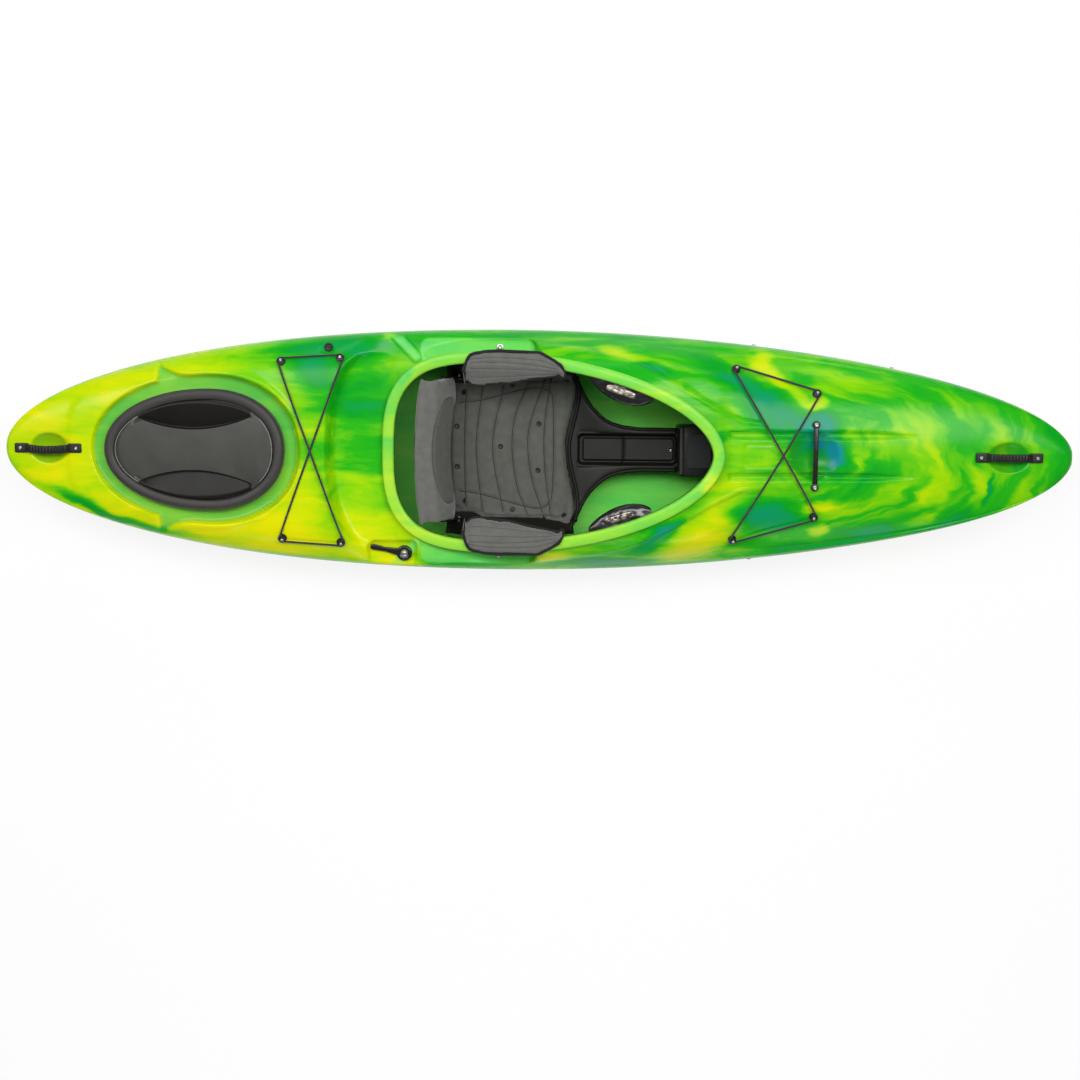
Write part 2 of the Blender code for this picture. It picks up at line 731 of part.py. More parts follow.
def build_hull():
    """The rotomoulded shell, with its openings cut after the hollow."""
    hull = add_part("hull", hull_loft("hull", hull_stations(), 5, 5), "green_pe")
    cut_recesses(hull, "", 0.0)
    hollow = add_cutter("hollow", hull_loft("hollow", inner_stations(), 4, 4, WALL))
    cut_recesses(hollow, "_inside", WALL)
    weld(hollow)
    boolean(hull, hollow, "DIFFERENCE")
    boolean(hull, add_cutter("coaming_ring", coaming_ring()), "UNION")
    mouth = prism("cockpit_mouth", cockpit_outline(), LOW_DECK_Z - 0.040, RIM_PEAK_Z + 0.05)
    boolean(hull, add_cutter("cockpit_mouth", mouth), "DIFFERENCE")
    neck = prism("hatch_neck", hatch_outline(-NECK_INSET), HATCH_SEAT_Z - WALL / 2, NECK_Z)
    boolean(hull, add_cutter("hatch_neck", neck), "UNION")
    inside = hatch_outline(-NECK_INSET - NECK_WALL)
    throat = prism("hatch_throat", inside, HATCH_SEAT_Z - 0.03, NECK_Z + 0.02)
    boolean(hull, add_cutter("hatch_throat", throat), "DIFFERENCE")
    slot_half = SKEG_THICKNESS / 2 + SKEG_GAP
    slot = box("skeg_slot", (SKEG_BOX_AFT_X + 0.004, -slot_half, -0.02),
               (SKEG_BOX_FORE_X - 0.004, slot_half, 0.20))
    boolean(hull, add_cutter("skeg_slot", slot), "DIFFERENCE")
    drain = rod("drain_bore", (DRAIN_X, DRAIN_Y, drain_z() - 0.02), (DRAIN_X, DRAIN_Y, drain_z() + 0.02),
                DRAIN_STEM + HOLE_FIT)
    boolean(hull, add_cutter("drain_bore", drain), "DIFFERENCE")
    return hull


def drill(target, holes, sides=8):
    """Round holes through a piece, each one a place, a direction, a radius and a depth."""
    bm = bmesh.new()
    for spot, direction, radius, depth in holes:
        half = Vector(direction).normalized() * depth / 2
        shaft = rod("shaft", Vector(spot) - half, Vector(spot) + half, radius, sides)
        bm.from_mesh(shaft)
        bpy.data.meshes.remove(shaft)
    name = target.name + "_holes"
    boolean(target, add_cutter(name, mesh_from(name, bm)), "DIFFERENCE")


def upright(spots, radius, depth=0.030):
    """Holes that run straight down."""
    return [(spot, (0, 0, 1), radius, depth) for spot in spots]


def crosswise(spots, radius, depth):
    """Holes that run from side to side."""
    return [(spot, (0, 1, 0), radius, depth) for spot in spots]


# Deck normals and fasteners
def deck_normal(x, y):
    step = 0.004
    slope_x = (deck_z(x + step, y) - deck_z(x - step, y)) / (2 * step)
    slope_y = (deck_z(x, y + step) - deck_z(x, y - step)) / (2 * step)
    return Vector((-slope_x, -slope_y, 1)).normalized()


def on_deck(x, y, lift=0.0):
    """A point on the deck, or above it along the deck's normal."""
    return Vector((x, y, deck_z(x, y))) + deck_normal(x, y) * lift


def fastener(name, spot, direction, radius, head, length, sides=10):
    """A domed head with its shank; the spot is where the underside of the head seats."""
    profile = ((radius, -length), (radius, 0.0), (head, 0.0), (head, head * 0.25),
               (head * 0.6, head * 0.5))
    return add_part(name, turned(name, profile, spot, direction, sides), "steel")


# Stern hatch
def ring_sweep(name, count, outline, profile):
    """A closed rim: a profile of (outward, z) pairs carried round an outline."""
    inner, outer = outline(0.0, count), outline(1.0, count)
    rings = []
    for (x, y), (far_x, far_y) in zip(inner, outer):
        rings.append([(x + (far_x - x) * r, y + (far_y - y) * r, z) for r, z in profile])
    return loft(name, rings, closed=True)


def lens(grow=0.0, side=1, steps=8):
    """The outline of a hand recess: two arcs that meet in points."""
    half, rise = GRIP_LENGTH / 2 + grow * 2, GRIP_WIDTH / 2 + grow
    spots = []
    for direction in (1, -1):
        for i in range(steps):
            share = -1 + 2 * i / steps
            x = GRIP_X - direction * half * share
            spots.append((x, side * GRIP_Y + direction * rise * (1 - share ** 2)))
    return spots


def build_hatch():
    seat, neck = HATCH_SEAT_Z + FIT, NECK_Z + FIT
    flange = neck + SEAL_FLANGE
    tuck = -SEAL_WIDTH - SEAL_FLANGE
    skirt = -NECK_INSET + FIT
    profile = ((0, seat), (0, SEAL_Z - 0.010), (-0.005, SEAL_Z - 0.003), (-0.012, SEAL_Z),
               (-SEAL_WIDTH, SEAL_Z), (-SEAL_WIDTH, flange), (tuck, flange), (tuck, neck), (skirt, neck),
               (skirt, seat))
    add_part("hatch_seal", ring_sweep("hatch_seal", 36, hatch_outline, profile), "grey_rubber")

    edge = hatch_outline(-SEAL_WIDTH - FIT)
    top = flange + FIT + PANEL_PLATE
    middle = Vector((GRIP_X, 0))
    rings = [[(x, y, flange + FIT) for x, y in edge]]
    for share, lift in ((1.0, 0.0), (0.7, 0.55), (0.3, 1.0)):
        rings.append([(middle.x + (x - middle.x) * share, y * share, top + PANEL_CROWN * lift)
                      for x, y in edge])
    panel = add_part("hatch_panel", loft("hatch_panel", rings), "grey_pe")
    for side, word in ((1, "port"), (-1, "starboard")):
        low = top - GRIP_DEPTH
        pocket = prism(word + "_grip_pocket", lens(GRIP_SKIN, side), low - GRIP_SKIN, top - GRIP_SKIN)
        boolean(panel, add_cutter(word + "_grip_pocket", pocket), "UNION")
        hollow = prism(word + "_grip", lens(0.0, side), low, top + CUT)
        boolean(panel, add_cutter(word + "_grip", hollow), "DIFFERENCE")


# Foam inside the hull
def lining(name):
    """The space inside the shell, less a hair of clearance."""
    return add_cutter(name, hull_loft(name, inner_stations(), 4, 4, WALL + LINING_GAP))


def build_foam():
    half = BULKHEAD_THICK / 2
    wide = BULKHEAD_HALF
    mesh = box("stern_bulkhead", (BULKHEAD_X - half, -wide, -CUT), (BULKHEAD_X + half, wide, wide))
    bulkhead = add_part("stern_bulkhead", mesh, "black_foam", smooth=False)
    sunk = low_deck("bulkhead_low_deck", WALL + 0.003)
    boolean(bulkhead, add_cutter("bulkhead_low_deck", sunk), "DIFFERENCE")
    boolean(bulkhead, lining("bulkhead_lining"), "INTERSECT")
    passage = tube("cable_passage", cable_route(), CABLE_RADIUS + 0.001)
    boolean(bulkhead, add_cutter("cable_passage", passage), "DIFFERENCE")

    half = PILLAR_THICK / 2
    mesh = box("bow_pillar", (PILLAR_AFT_X, -half, -CUT), (PILLAR_FORE_X, half, wide + CUT))
    pillar = add_part("bow_pillar", mesh, "black_foam", smooth=False)
    boolean(pillar, lining("pillar_lining"), "INTERSECT")
    bowl = dish("pillar_dish", BAR_X, 2 * BAR_DISH_RADIUS, 2 * BAR_DISH_RADIUS, BAR_DISH_DEPTH,
                WALL + 0.001)
    boolean(pillar, add_cutter("pillar_dish", bowl), "DIFFERENCE")


# Seat
def pan_z(x, y):
    """Height of the seat pan's upper face."""
    rise = np.interp(abs(y), [p[0] for p in SEAT_SHAPE], [p[1] for p in SEAT_SHAPE])
    return float(np.interp(x, SEAT_ROWS, SEAT_PAN_Z) + rise)


def channel_ring(x, upper, skin):
    """A closed section made of a line of (y, z) points and the same line moved down by skin."""
    spots = [Vector(p) for p in upper]
    lower = []
    for i, spot in enumerate(spots):
        along = spots[min(i + 1, len(spots) - 1)] - spots[max(i - 1, 0)]
        lower.append(spot + Vector((along.y, -along.x)).normalized() * skin)
    return [(x, p.x, p.y) for p in spots] + [(x, p.x, p.y) for p in reversed(lower)]


def seat_section(x):
    base = float(np.interp(x, SEAT_ROWS, SEAT_PAN_Z))
    wing = float(np.interp(x, SEAT_ROWS, SEAT_WING_Z))
    half = [(y, base + rise) for y, rise in SEAT_SHAPE]
    half += [(WING_Y - 0.004, half[-1][1] + (wing - half[-1][1]) * 0.5), (WING_Y, wing)]
    return [(-y, z) for y, z in reversed(half[1:])] + half


def flare_outline():
    """Plan of the seat frame where it narrows from the pan to the centre beam."""
    aft, wide = SEAT_ROWS[-1] - 0.020, SEAT_SHAPE[-1][0]
    side = []
    for i in range(7):
        angle = math.pi / 2 * i / 6
        x = aft + 0.025 + (FLARE_FORE_X - aft - 0.025) * math.sin(angle)
        y = BEAM_HALF - 0.004 + (wide - BEAM_HALF) * (1 - math.cos(math.pi / 2 - angle))
        side.append((x, y))
    port = [(aft, wide)] + side
    return port + [(x, -y) for x, y in reversed(port)]


def build_seat():
    rings = [channel_ring(x, seat_section(x), SEAT_SKIN) for x in SEAT_ROWS]
    seat = add_part("seat_shell", loft("seat_shell", rings), "black_plastic")
    floor = WALL + FIT
    front = SEAT_ROWS[-1]
    plate = SEAT_PAN_Z[-1] - SEAT_SKIN + 0.0015
    pieces = [
        prism("seat_flare", flare_outline(), plate - SEAT_SKIN, plate),
        box("seat_spine", (FLAT_AFT_X, -SPINE_HALF, floor), (front, SPINE_HALF, SEAT_PAN_Z[2] - 0.002)),
    ]
    high = LEDGE_Z - WALL - FIT
    for side, word in ((1, "port"), (-1, "starboard")):
        near, far = sorted((side * (WING_Y - 0.001), side * TAB_OUT_Y))
        pieces.append(box(word + "_tab", (HIP_SCREW_X - TAB_HALF_LENGTH, near, high - TAB_THICK),
                          (HIP_SCREW_X + TAB_HALF_LENGTH, far, high)))
    for mesh in pieces:
        boolean(seat, add_cutter(mesh.name, mesh), "UNION")
    wide = BEAM_HALF + FIT
    gap = box("beam_gap", (front, -wide, floor), (FLARE_FORE_X + CUT, wide, BEAM_Z))
    boolean(seat, add_cutter("beam_gap", gap), "DIFFERENCE")
    holes = upright([(HIP_SCREW_X, side * HIP_SCREW_Y, high) for side in (1, -1)], BOLT_RADIUS + HOLE_FIT)
    pivots = [(BACK_PIVOT_X, side * WING_Y, BACK_PIVOT_Z) for side in (1, -1)]
    drill(seat, holes + crosswise(pivots, BACK_BOLT + HOLE_FIT, 0.06))
    weld(seat)


def build_centre_beam():
    """The beam between the legs, with two trays in its top and a block at its fore end."""
    floor, front = WALL + FIT, SEAT_ROWS[-1] + FIT
    mesh = box("centre_beam", (front, -BEAM_HALF, floor), (BEAM_FORE_X, BEAM_HALF, BEAM_Z))
    beam = add_part("centre_beam", mesh, "black_plastic")
    block = box("beam_block", (BLOCK_AFT_X, -BLOCK_HALF, floor + 0.012), (BLOCK_FORE_X, BLOCK_HALF, BLOCK_Z))
    boolean(beam, add_cutter("beam_block", block), "UNION")
    tray_z = BEAM_Z - TRAY_DEPTH
    cuts = [
        box("beam_hollow", (front + BEAM_SKIN, -BEAM_HALF + BEAM_SKIN, -CUT),
            (BEAM_FORE_X - BEAM_SKIN, BEAM_HALF - BEAM_SKIN, tray_z - BEAM_SKIN)),
        box("tray_aft", (TRAY_AFT_X, -TRAY_HALF, tray_z),
            (TRAY_BAR_X - TRAY_BAR / 2, TRAY_HALF, BEAM_Z + CUT)),
        box("tray_fore", (TRAY_BAR_X + TRAY_BAR / 2, -TRAY_HALF, tray_z),
            (TRAY_FORE_X, TRAY_HALF, BEAM_Z + CUT)),
    ]
    for mesh in cuts:
        boolean(beam, add_cutter(mesh.name, mesh), "DIFFERENCE")
    drill(beam, upright([(KNOB_X, 0, tray_z)], KNOB_STEM + HOLE_FIT))
    weld(beam)

    stem = -KNOB_STEM_LENGTH
    profile = ((KNOB_STEM, stem), (KNOB_STEM, 0.0), (KNOB_RADIUS * 0.8, 0.0),
               (KNOB_RADIUS, KNOB_HEIGHT * 0.35), (KNOB_RADIUS * 0.9, KNOB_HEIGHT * 0.75),
               (KNOB_RADIUS * 0.45, KNOB_HEIGHT))
    spot = (KNOB_X, 0, tray_z + FIT)
    add_part("lifter_knob", turned("lifter_knob", profile, spot, sides=14), "black_plastic")


def build_seat_pad():
    """The quilted seat cushion: a crown, drawn-in sides and cross channels that bow forward."""
    rows, columns = 25, 12
    top, bottom = [], []
    for i in range(rows):
        share = i / (rows - 1)
        pull = 1 - 0.05 * (2 * share - 1) ** 4
        upper, lower = [], []
        for j in range(columns + 1):
            across = -1 + 2 * j / columns
            y = PAD_HALF * pull * across
            bow = 0.012 * (1 - across ** 2) * (2 * share - 1)
            x = PAD_AFT_X + (PAD_FORE_X - PAD_AFT_X) * share - bow * 0.6
            wave = abs(math.sin(math.pi * share * (PAD_CHANNELS + 1)))
            edge = max(0.0, 1 - across ** 6) * max(0.0, 1 - (2 * share - 1) ** 10)
            puff = (PAD_THICK - PAD_CHANNEL_DEPTH * (1 - wave ** 0.6)) * (0.35 + 0.65 * edge ** 0.5)
            base = pan_z(x, y) + PAD_GAP
            lower.append((x, y, base))
            upper.append((x, y, base + puff))
        top.append(upper)
        bottom.append(lower)
    rings = [upper + lower[::-1] for upper, lower in zip(top, bottom)]
    add_part("seat_pad", loft("seat_pad", rings), "grey_fabric")


# Backrest
def back_x(y, z):
    """The rear face of the backrest shell."""
    return BACK_FOOT_X - (z - BACK_BOTTOM_Z) * BACK_LEAN + BACK_BOW * (y / BACK_HALF) ** 2


def build_backrest():
    rings = []
    for z, width in ((BACK_BOTTOM_Z, 0.86), (BACK_BOTTOM_Z + 0.03, 1.0), (BACK_TOP_Z - 0.03, 1.0),
                     (BACK_TOP_Z, 0.88)):
        spots = [BACK_HALF * width * (-1 + 2 * i / 10) for i in range(11)]
        rear = [(back_x(y, z), y, z) for y in spots]
        rings.append(rear + [(x + BACK_SKIN, y, h) for x, y, h in reversed(rear)])
    shell = add_part("backrest_shell", loft("backrest_shell", rings), "black_plastic")
    middle = BACK_BOTTOM_Z + 0.045
    for side, word in ((1, "port"), (-1, "starboard")):
        x = back_x(BACK_HALF, middle)
        outline = [(x - 0.004, middle + 0.020), (x - 0.004, middle - 0.020),
                   (BACK_PIVOT_X - 0.010, BACK_PIVOT_Z - 0.010),
                   (BACK_PIVOT_X + 0.010, BACK_PIVOT_Z - 0.007),
                   (BACK_PIVOT_X + 0.012, BACK_PIVOT_Z + 0.008), (x + 0.012, middle + 0.024)]
        near, far = sorted((side * (BACK_HALF - 0.006), side * ARM_OUT_Y))
        inner, outer = sorted((side * ARM_IN_Y, side * ARM_OUT_Y))
        arm = slab(word + "_arm", outline, inner, outer)
        boolean(shell, add_cutter(word + "_arm", arm), "UNION")
        low, high = middle - 0.018, middle + 0.018
        low_x, high_x = back_x(BACK_HALF, low), back_x(BACK_HALF, high)
        root = slab(word + "_arm_root", [(high_x - 0.002, high), (low_x - 0.002, low), (low_x + 0.004, low),
                                         (high_x + 0.004, high)], near, far)
        boolean(shell, add_cutter(word + "_arm_root", root), "UNION")
    pivots = [(BACK_PIVOT_X, side * ARM_IN_Y, BACK_PIVOT_Z) for side in (1, -1)]
    drill(shell, crosswise(pivots, BACK_BOLT + HOLE_FIT, 0.040), 12)
    weld(shell)
    length = SEAT_SHAPE[-1][0] + SEAT_SKIN + 0.004 - ARM_IN_Y
    for side, word in ((1, "left"), (-1, "right")):
        spot = (BACK_PIVOT_X, side * (ARM_IN_Y - FIT), BACK_PIVOT_Z)
        fastener("backrest_bolt_" + word, spot, (0, -side, 0), BACK_BOLT, 0.0085, length + FIT, 12)

    rings = []
    for i in range(13):
        across = -1 + 2 * i / 12
        y = BACK_PAD_HALF * across
        swell = (1 - across ** 8) ** 0.5 if abs(across) < 1 else 0.0
        thick = BACK_PAD * (0.45 + 0.55 * swell)
        low, high = BACK_BOTTOM_Z + 0.004 + 0.016 * (1 - swell), BACK_TOP_Z - 0.001 - 0.016 * (1 - swell)
        ring = []
        for out, up in ((0.0, 0.06), (0.55, 0.0), (0.92, 0.10), (1.0, 0.35), (0.97, 0.65), (0.85, 0.90),
                        (0.50, 1.0), (0.0, 0.94)):
            z = low + (high - low) * up
            ring.append((back_x(y, z) + BACK_SKIN + BACK_PAD_GAP + thick * out, y, z))
        rings.append(ring)
    add_part("backband_pad", loft("backband_pad", rings), "grey_fabric")


# Hip pads and thigh braces
def cockpit_half(x):
    return egg_half(x, COCKPIT_AFT_X, COCKPIT_FORE_X, COCKPIT_WIDEST_X, COCKPIT_HALF, 3.1, 1.82)


def build_hip_pad(word, side):
    """A soft pad that lies on the coaming and hangs down inside it."""
    rings = []
    steps = 12
    for i in range(steps + 1):
        share = i / steps
        x = HIP_AFT_X + (HIP_FORE_X - HIP_AFT_X) * share
        half, high = cockpit_half(x), rim_z(x)
        ends = (1 - (2 * share - 1) ** 6) ** 0.5 if 0 < i < steps else 0.25
        out = half + (LIP_WIDTH - 0.002) * (0.4 + 0.6 * ends)
        reach, drop = HIP_REACH * (0.45 + 0.55 * ends), HIP_DROP
        thick = HIP_THICK * (0.4 + 0.6 * ends)
        seat = high + HOLE_FIT
        lower = [(out, seat), (half - 0.002, seat), (half - 0.010, high - 0.012),
                 (half - reach, high - drop)]
        upper = [(half - reach - thick * 0.8, high - drop + thick * 0.5),
                 (half - 0.020, high + thick * 0.55),
                 (half + 0.004, high + thick), (out - 0.006, high + thick * 0.9)]
        rings.append([(x, side * y, z) for y, z in lower + upper])
    add_part("hip_pad_" + word, loft("hip_pad_" + word, rings), "grey_fabric")


def build_thigh_brace(word, side):
    """A crescent hooked under the coaming, for the thigh to press on."""
    rings = []
    steps = 10
    for i in range(steps + 1):
        share = i / steps
        x = BRACE_AFT_X + (BRACE_FORE_X - BRACE_AFT_X) * share
        half, foot = cockpit_half(x), rim_foot_z(x) - 0.0016
        reach = BRACE_REACH * math.sin(math.pi * (0.06 + 0.88 * share)) ** 0.6
        wall = half + RIM_WALL + 0.002
        low = foot - BRACE_THICK
        profile = ((wall + 0.018, foot + 0.003), (wall, foot + 0.003), (wall, foot),
                   (half - 0.001, foot - 0.001), (half - reach * 0.7, foot - 0.002),
                   (half - reach, foot - 0.010), (half - reach * 0.9, low - 0.010),
                   (half - reach * 0.4, low - 0.004), (wall + 0.018, low - 0.006))
        rings.append([(x, side * y, z) for y, z in profile])
    name = "thigh_brace_" + word
    brace = add_part(name, loft(name, rings), "black_plastic")
    boolean(brace, lining(name + "_lining"), "INTERSECT")


# Foot braces
def rail_line(side):
    """The two places where a rail is screwed to the inside of the hull, and its directions."""
    ends = [Vector((x, side * (half_beam(x) - WALL), RAIL_Z)) for x in RAIL_SCREWS]
    along = (ends[1] - ends[0]).normalized()
    inward = Vector((-along.y, along.x, 0)) * side
    if inward.y * side > 0:
        inward = -inward
    return ends, along, inward


def along_rail(name, side, low, high, profile):
    """A section of (inward, up) pairs carried along a rail between two places on it."""
    ends, along, inward = rail_line(side)
    rings = []
    for x in (low, high):
        start = ends[0] + along * ((x - ends[0].x) / along.x)
        rings.append([start + inward * out + Vector((0, 0, up)) for out, up in profile])
    return loft(name, rings)


def build_foot_brace(word, side, hull_holes):
    near, far, half = RAIL_STANDOFF, RAIL_STANDOFF + RAIL_THICK, RAIL_HEIGHT / 2
    profile = ((near, -half), (far, -half), (far, half), (near, half))
    name = "foot_rail_" + word
    bar = along_rail(name, side, RAIL_AFT_X, RAIL_FORE_X, profile)
    rail = add_part(name, bar, "black_plastic", smooth=False)
    ends, along, inward = rail_line(side)
    for i, end in enumerate(ends):
        start, finish = end - inward * 0.004, end + inward * (near + 0.002)
        boss = rod(f"rail_boss_{word}_{i}", start, finish, RAIL_BOSS, 12)
        boolean(rail, add_cutter(boss.name, boss), "UNION")
    boolean(rail, lining("rail_lining_" + word), "INTERSECT")
    holes = [(end, inward, BOLT_RADIUS + HOLE_FIT, 0.060) for end in ends]
    drill(rail, holes)
    hull_holes += holes
    for i, end in enumerate(ends):
        spot = end - inward * (WALL + 0.0012)
        fastener(f"rail_screw_{word}_{i + 1}", spot, -inward, BOLT_RADIUS, BOLT_HEAD, far + WALL)

    gap, clip = FIT, CLIP_THICK
    profile = ((far + gap, -half - gap), (near + 0.004, -half - gap), (near + 0.004, -half - gap - clip),
               (far + gap + clip, -half - gap - clip), (far + gap + clip, half + gap + clip),
               (near + 0.004, half + gap + clip), (near + 0.004, half + gap), (far + gap, half + gap))
    name = "foot_pedal_" + word
    fore = PEDAL_X + PEDAL_LENGTH
    pedal = add_part(name, along_rail(name, side, PEDAL_X, fore, profile), "black_plastic")
    low, high = -PEDAL_HEIGHT * 0.62, PEDAL_HEIGHT * 0.38
    inner = far + gap + clip * 0.5
    plate = ((inner, low * 0.5), (inner + PEDAL_REACH * 0.3, low), (inner + PEDAL_REACH, low),
             (inner + PEDAL_REACH, high), (inner + PEDAL_REACH * 0.3, high), (inner, high * 0.6))
    mesh = along_rail(word + "_foot_plate", side, PEDAL_X + 0.001, PEDAL_X + 0.001 + PEDAL_THICK, plate)
    boolean(pedal, add_cutter(mesh.name, mesh), "UNION")


# Skeg
def skeg_outline():
    """The blade let down: pivot end forward, rounded corner at the low rear."""
    keel = [(x, keel_z(x)) for x in (SKEG_PIVOT_X + 0.018, SKEG_PIVOT_X - 0.020)]
    spots = [(keel[0][0], SKEG_PIVOT_Z + 0.014), (keel[0][0] + 0.002, SKEG_PIVOT_Z - 0.006),
             (keel[1][0] + 0.020, SKEG_PIVOT_Z - 0.022)]
    radius = 0.018
    corner = Vector((SKEG_AFT_X + radius, SKEG_LOW_Z + radius))
    for i in range(6):
        angle = math.radians(262 - 82 * i / 5)
        spots.append((corner.x + radius * math.cos(angle), corner.y + radius * math.sin(angle)))
    spots.append((SKEG_AFT_X, SKEG_PIVOT_Z + 0.056))
    spots.append((SKEG_AFT_X + 0.012, SKEG_PIVOT_Z + 0.062))
    return spots


def cable_route():
    """The skeg cable, from under the lever to the front of the skeg box."""
    start = (LEVER_X, LEVER_Y, POCKET_Z - WALL - 0.016)
    end = (SKEG_BOX_FORE_X + 2 * FIT, 0.0, 0.140)
    through = [start, (LEVER_X - 0.006, LEVER_Y + 0.002, start[2] - 0.014),
               (LEVER_X - 0.045, LEVER_Y + 0.006, 0.172), (BULKHEAD_X, -0.3897 * BEAM, 0.140),
               (-0.640, -0.3367 * BEAM, 0.118), (-0.760, -0.2292 * BEAM, 0.112),
               (-0.860, -0.0931 * BEAM, 0.122), (SKEG_BOX_FORE_X + 0.030, -0.002, 0.139)]
    return smooth_route(through, 4) + [Vector((end[0] + 0.012, 0.0, end[2])), Vector(end)]


def smooth_route(through, steps):
    """A smooth curve through a few points, as a list of closer points."""
    spots = [Vector(p) for p in through]
    route = [spots[0]]
    for i in range(len(spots) - 1):
        before, start = spots[max(i - 1, 0)], spots[i]
        end, after = spots[i + 1], spots[min(i + 2, len(spots) - 1)]
        for j in range(1, steps + 1):
            t = j / steps
            spot = 2 * start + (end - before) * t
            spot += (2 * before - 5 * start + 4 * end - after) * t ** 2
            spot += (3 * start - before - 3 * end + after) * t ** 3
            route.append(spot / 2)
    return route


def build_skeg():
    inside = SKEG_THICKNESS / 2 + SKEG_GAP
    outside = inside + SKEG_BOX_WALL
    mesh = box("skeg_box", (SKEG_BOX_AFT_X, -outside, -CUT), (SKEG_BOX_FORE_X, outside, SKEG_BOX_TOP_Z))
    case = add_part("skeg_box", mesh, "black_plastic", smooth=False)
    boolean(case, lining("box_lining"), "INTERSECT")
    mesh = box("skeg_box_hollow", (SKEG_BOX_AFT_X + SKEG_BOX_WALL, -inside, -0.05),
               (SKEG_BOX_FORE_X - SKEG_BOX_WALL, inside, SKEG_BOX_TOP_Z - SKEG_BOX_WALL))
    boolean(case, add_cutter("skeg_box_hollow", mesh), "DIFFERENCE")
    spot = (SKEG_PIVOT_X, 0, SKEG_PIVOT_Z)
    drill(case, crosswise([spot], SKEG_PIN_RADIUS + HOLE_FIT, 0.05))

    half = SKEG_THICKNESS / 2
    mesh = slab("skeg_blade", skeg_outline(), -half, half)
    blade = add_part("skeg_blade", mesh, "skeg_plastic", smooth=False)
    reach = outside + 0.002
    pin = rod("skeg_pin", (SKEG_PIVOT_X, -reach, SKEG_PIVOT_Z), (SKEG_PIVOT_X, reach, SKEG_PIVOT_Z),
              SKEG_PIN_RADIUS, 8)
    boolean(blade, add_cutter("skeg_pin", pin), "UNION")
    add_part("skeg_cable", tube("skeg_cable", cable_route(), CABLE_RADIUS), "black_cord")


def build_lever(hull_holes):
    low = POCKET_Z + FIT
    high = low + LEVER_HEIGHT
    hub = ((LEVER_HUB_RADIUS, low), (LEVER_HUB_RADIUS, high - 0.004), (LEVER_HUB_RADIUS - 0.004, high))
    mesh = turned("skeg_lever", hub, (LEVER_X, LEVER_Y, 0), sides=20)
    lever = add_part("skeg_lever", mesh, "black_plastic")
    angle = math.radians(LEVER_REST_DEG)
    along, across = Vector((math.cos(angle), math.sin(angle))), Vector((-math.sin(angle), math.cos(angle)))
    centre = Vector((LEVER_X, LEVER_Y))
    tip = LEVER_TIP_WIDTH / 2
    outline = []
    for reach, half in ((0.008, 0.010), (LEVER_REACH * 0.45, 0.0065), (LEVER_REACH - 0.006, tip),
                        (LEVER_REACH, tip * 0.6)):
        outline.append(centre + along * reach - across * half)
    for reach, half in ((LEVER_REACH, tip * 0.6), (LEVER_REACH - 0.006, tip), (LEVER_REACH * 0.45, 0.0065),
                        (0.008, 0.010)):
        outline.append(centre + along * reach + across * half)
    arm = prism("lever_arm", [(p.x, p.y) for p in outline], low + 0.002, high - 0.002)
    boolean(lever, add_cutter("lever_arm", arm), "UNION")
    spot = (LEVER_X, LEVER_Y, high)
    holes = upright([spot], BOLT_RADIUS + HOLE_FIT, 0.06)
    drill(lever, holes)
    hull_holes += holes
    length = LEVER_HEIGHT + WALL + 0.010
    fastener("lever_bolt", (LEVER_X, LEVER_Y, high + FIT), (0, 0, 1), BOLT_RADIUS, 0.009, length, 12)


# Deck fittings
def handle_outline(centre):
    """Side view of a grab handle: tabs that lie on the deck and a thick ribbed grip between them."""
    half, span = HANDLE_LENGTH / 2, HANDLE_LENGTH / 2 - HANDLE_TAB
    ends = [deck_ridge_z(centre + way * span) + 2 * FIT for way in (-1, 1)]
    lower, upper = [], []
    steps = 36
    for i in range(steps + 1):
        u = -1 + 2 * i / steps
        base = ends[0] + (ends[1] - ends[0]) * (u + 1) / 2
        lift = (HANDLE_RISE - GRIP_THICK) * math.cos(math.pi / 2 * u) ** 0.8 if abs(u) < 1 else 0.0
        thick = STRAP + (GRIP_THICK - STRAP) * smoothstep(1 - abs(u), 0.0, 0.35)
        rib = GRIP_RIB * math.cos(math.pi * i) * (abs(u) < 0.75)
        if i % 4 == 0:
            lower.append((centre + u * span, base + lift))
        if i % 2 == 0 or abs(u) < 0.75:
            upper.append((centre + u * span, base + lift + thick + rib))
    for way, spots in ((-1, lower), (1, lower), (-1, upper), (1, upper)):
        x = centre + way * half
        z = deck_ridge_z(x) + 2 * FIT + STRAP * (spots is upper)
        spots.insert(0 if way < 0 else len(spots), (x, z))
    return lower + upper[::-1]


def build_handle(word, centre, hull_holes):
    name = word + "_handle"
    half = HANDLE_WIDTH / 2
    handle = add_part(name, slab(name, handle_outline(centre), -half, half), "black_plastic", smooth=False)
    places = [centre + way * (HANDLE_LENGTH - HANDLE_TAB) / 2 for way in (-1, 1)]
    spots = [on_deck(x, 0, 2 * FIT) for x in places]
    holes = [(spot, deck_normal(spot.x, 0), BOLT_RADIUS + HOLE_FIT, 0.03) for spot in spots]
    drill(handle, holes)
    hull_holes += holes
    for i, spot in enumerate(spots):
        normal = holes[i][1]
        fastener(f"{word}_handle_bolt_{i + 1}", spot + normal * (STRAP + 2 * FIT), normal, BOLT_RADIUS,
                 BOLT_HEAD, BOLT_LENGTH)


def post_places(posts):
    """The four posts of a bungee: aft port, fore port, aft starboard, fore starboard."""
    (aft_x, aft_y), (fore_x, fore_y) = posts
    return [(aft_x, aft_y), (fore_x, fore_y), (aft_x, -aft_y), (fore_x, -fore_y)]


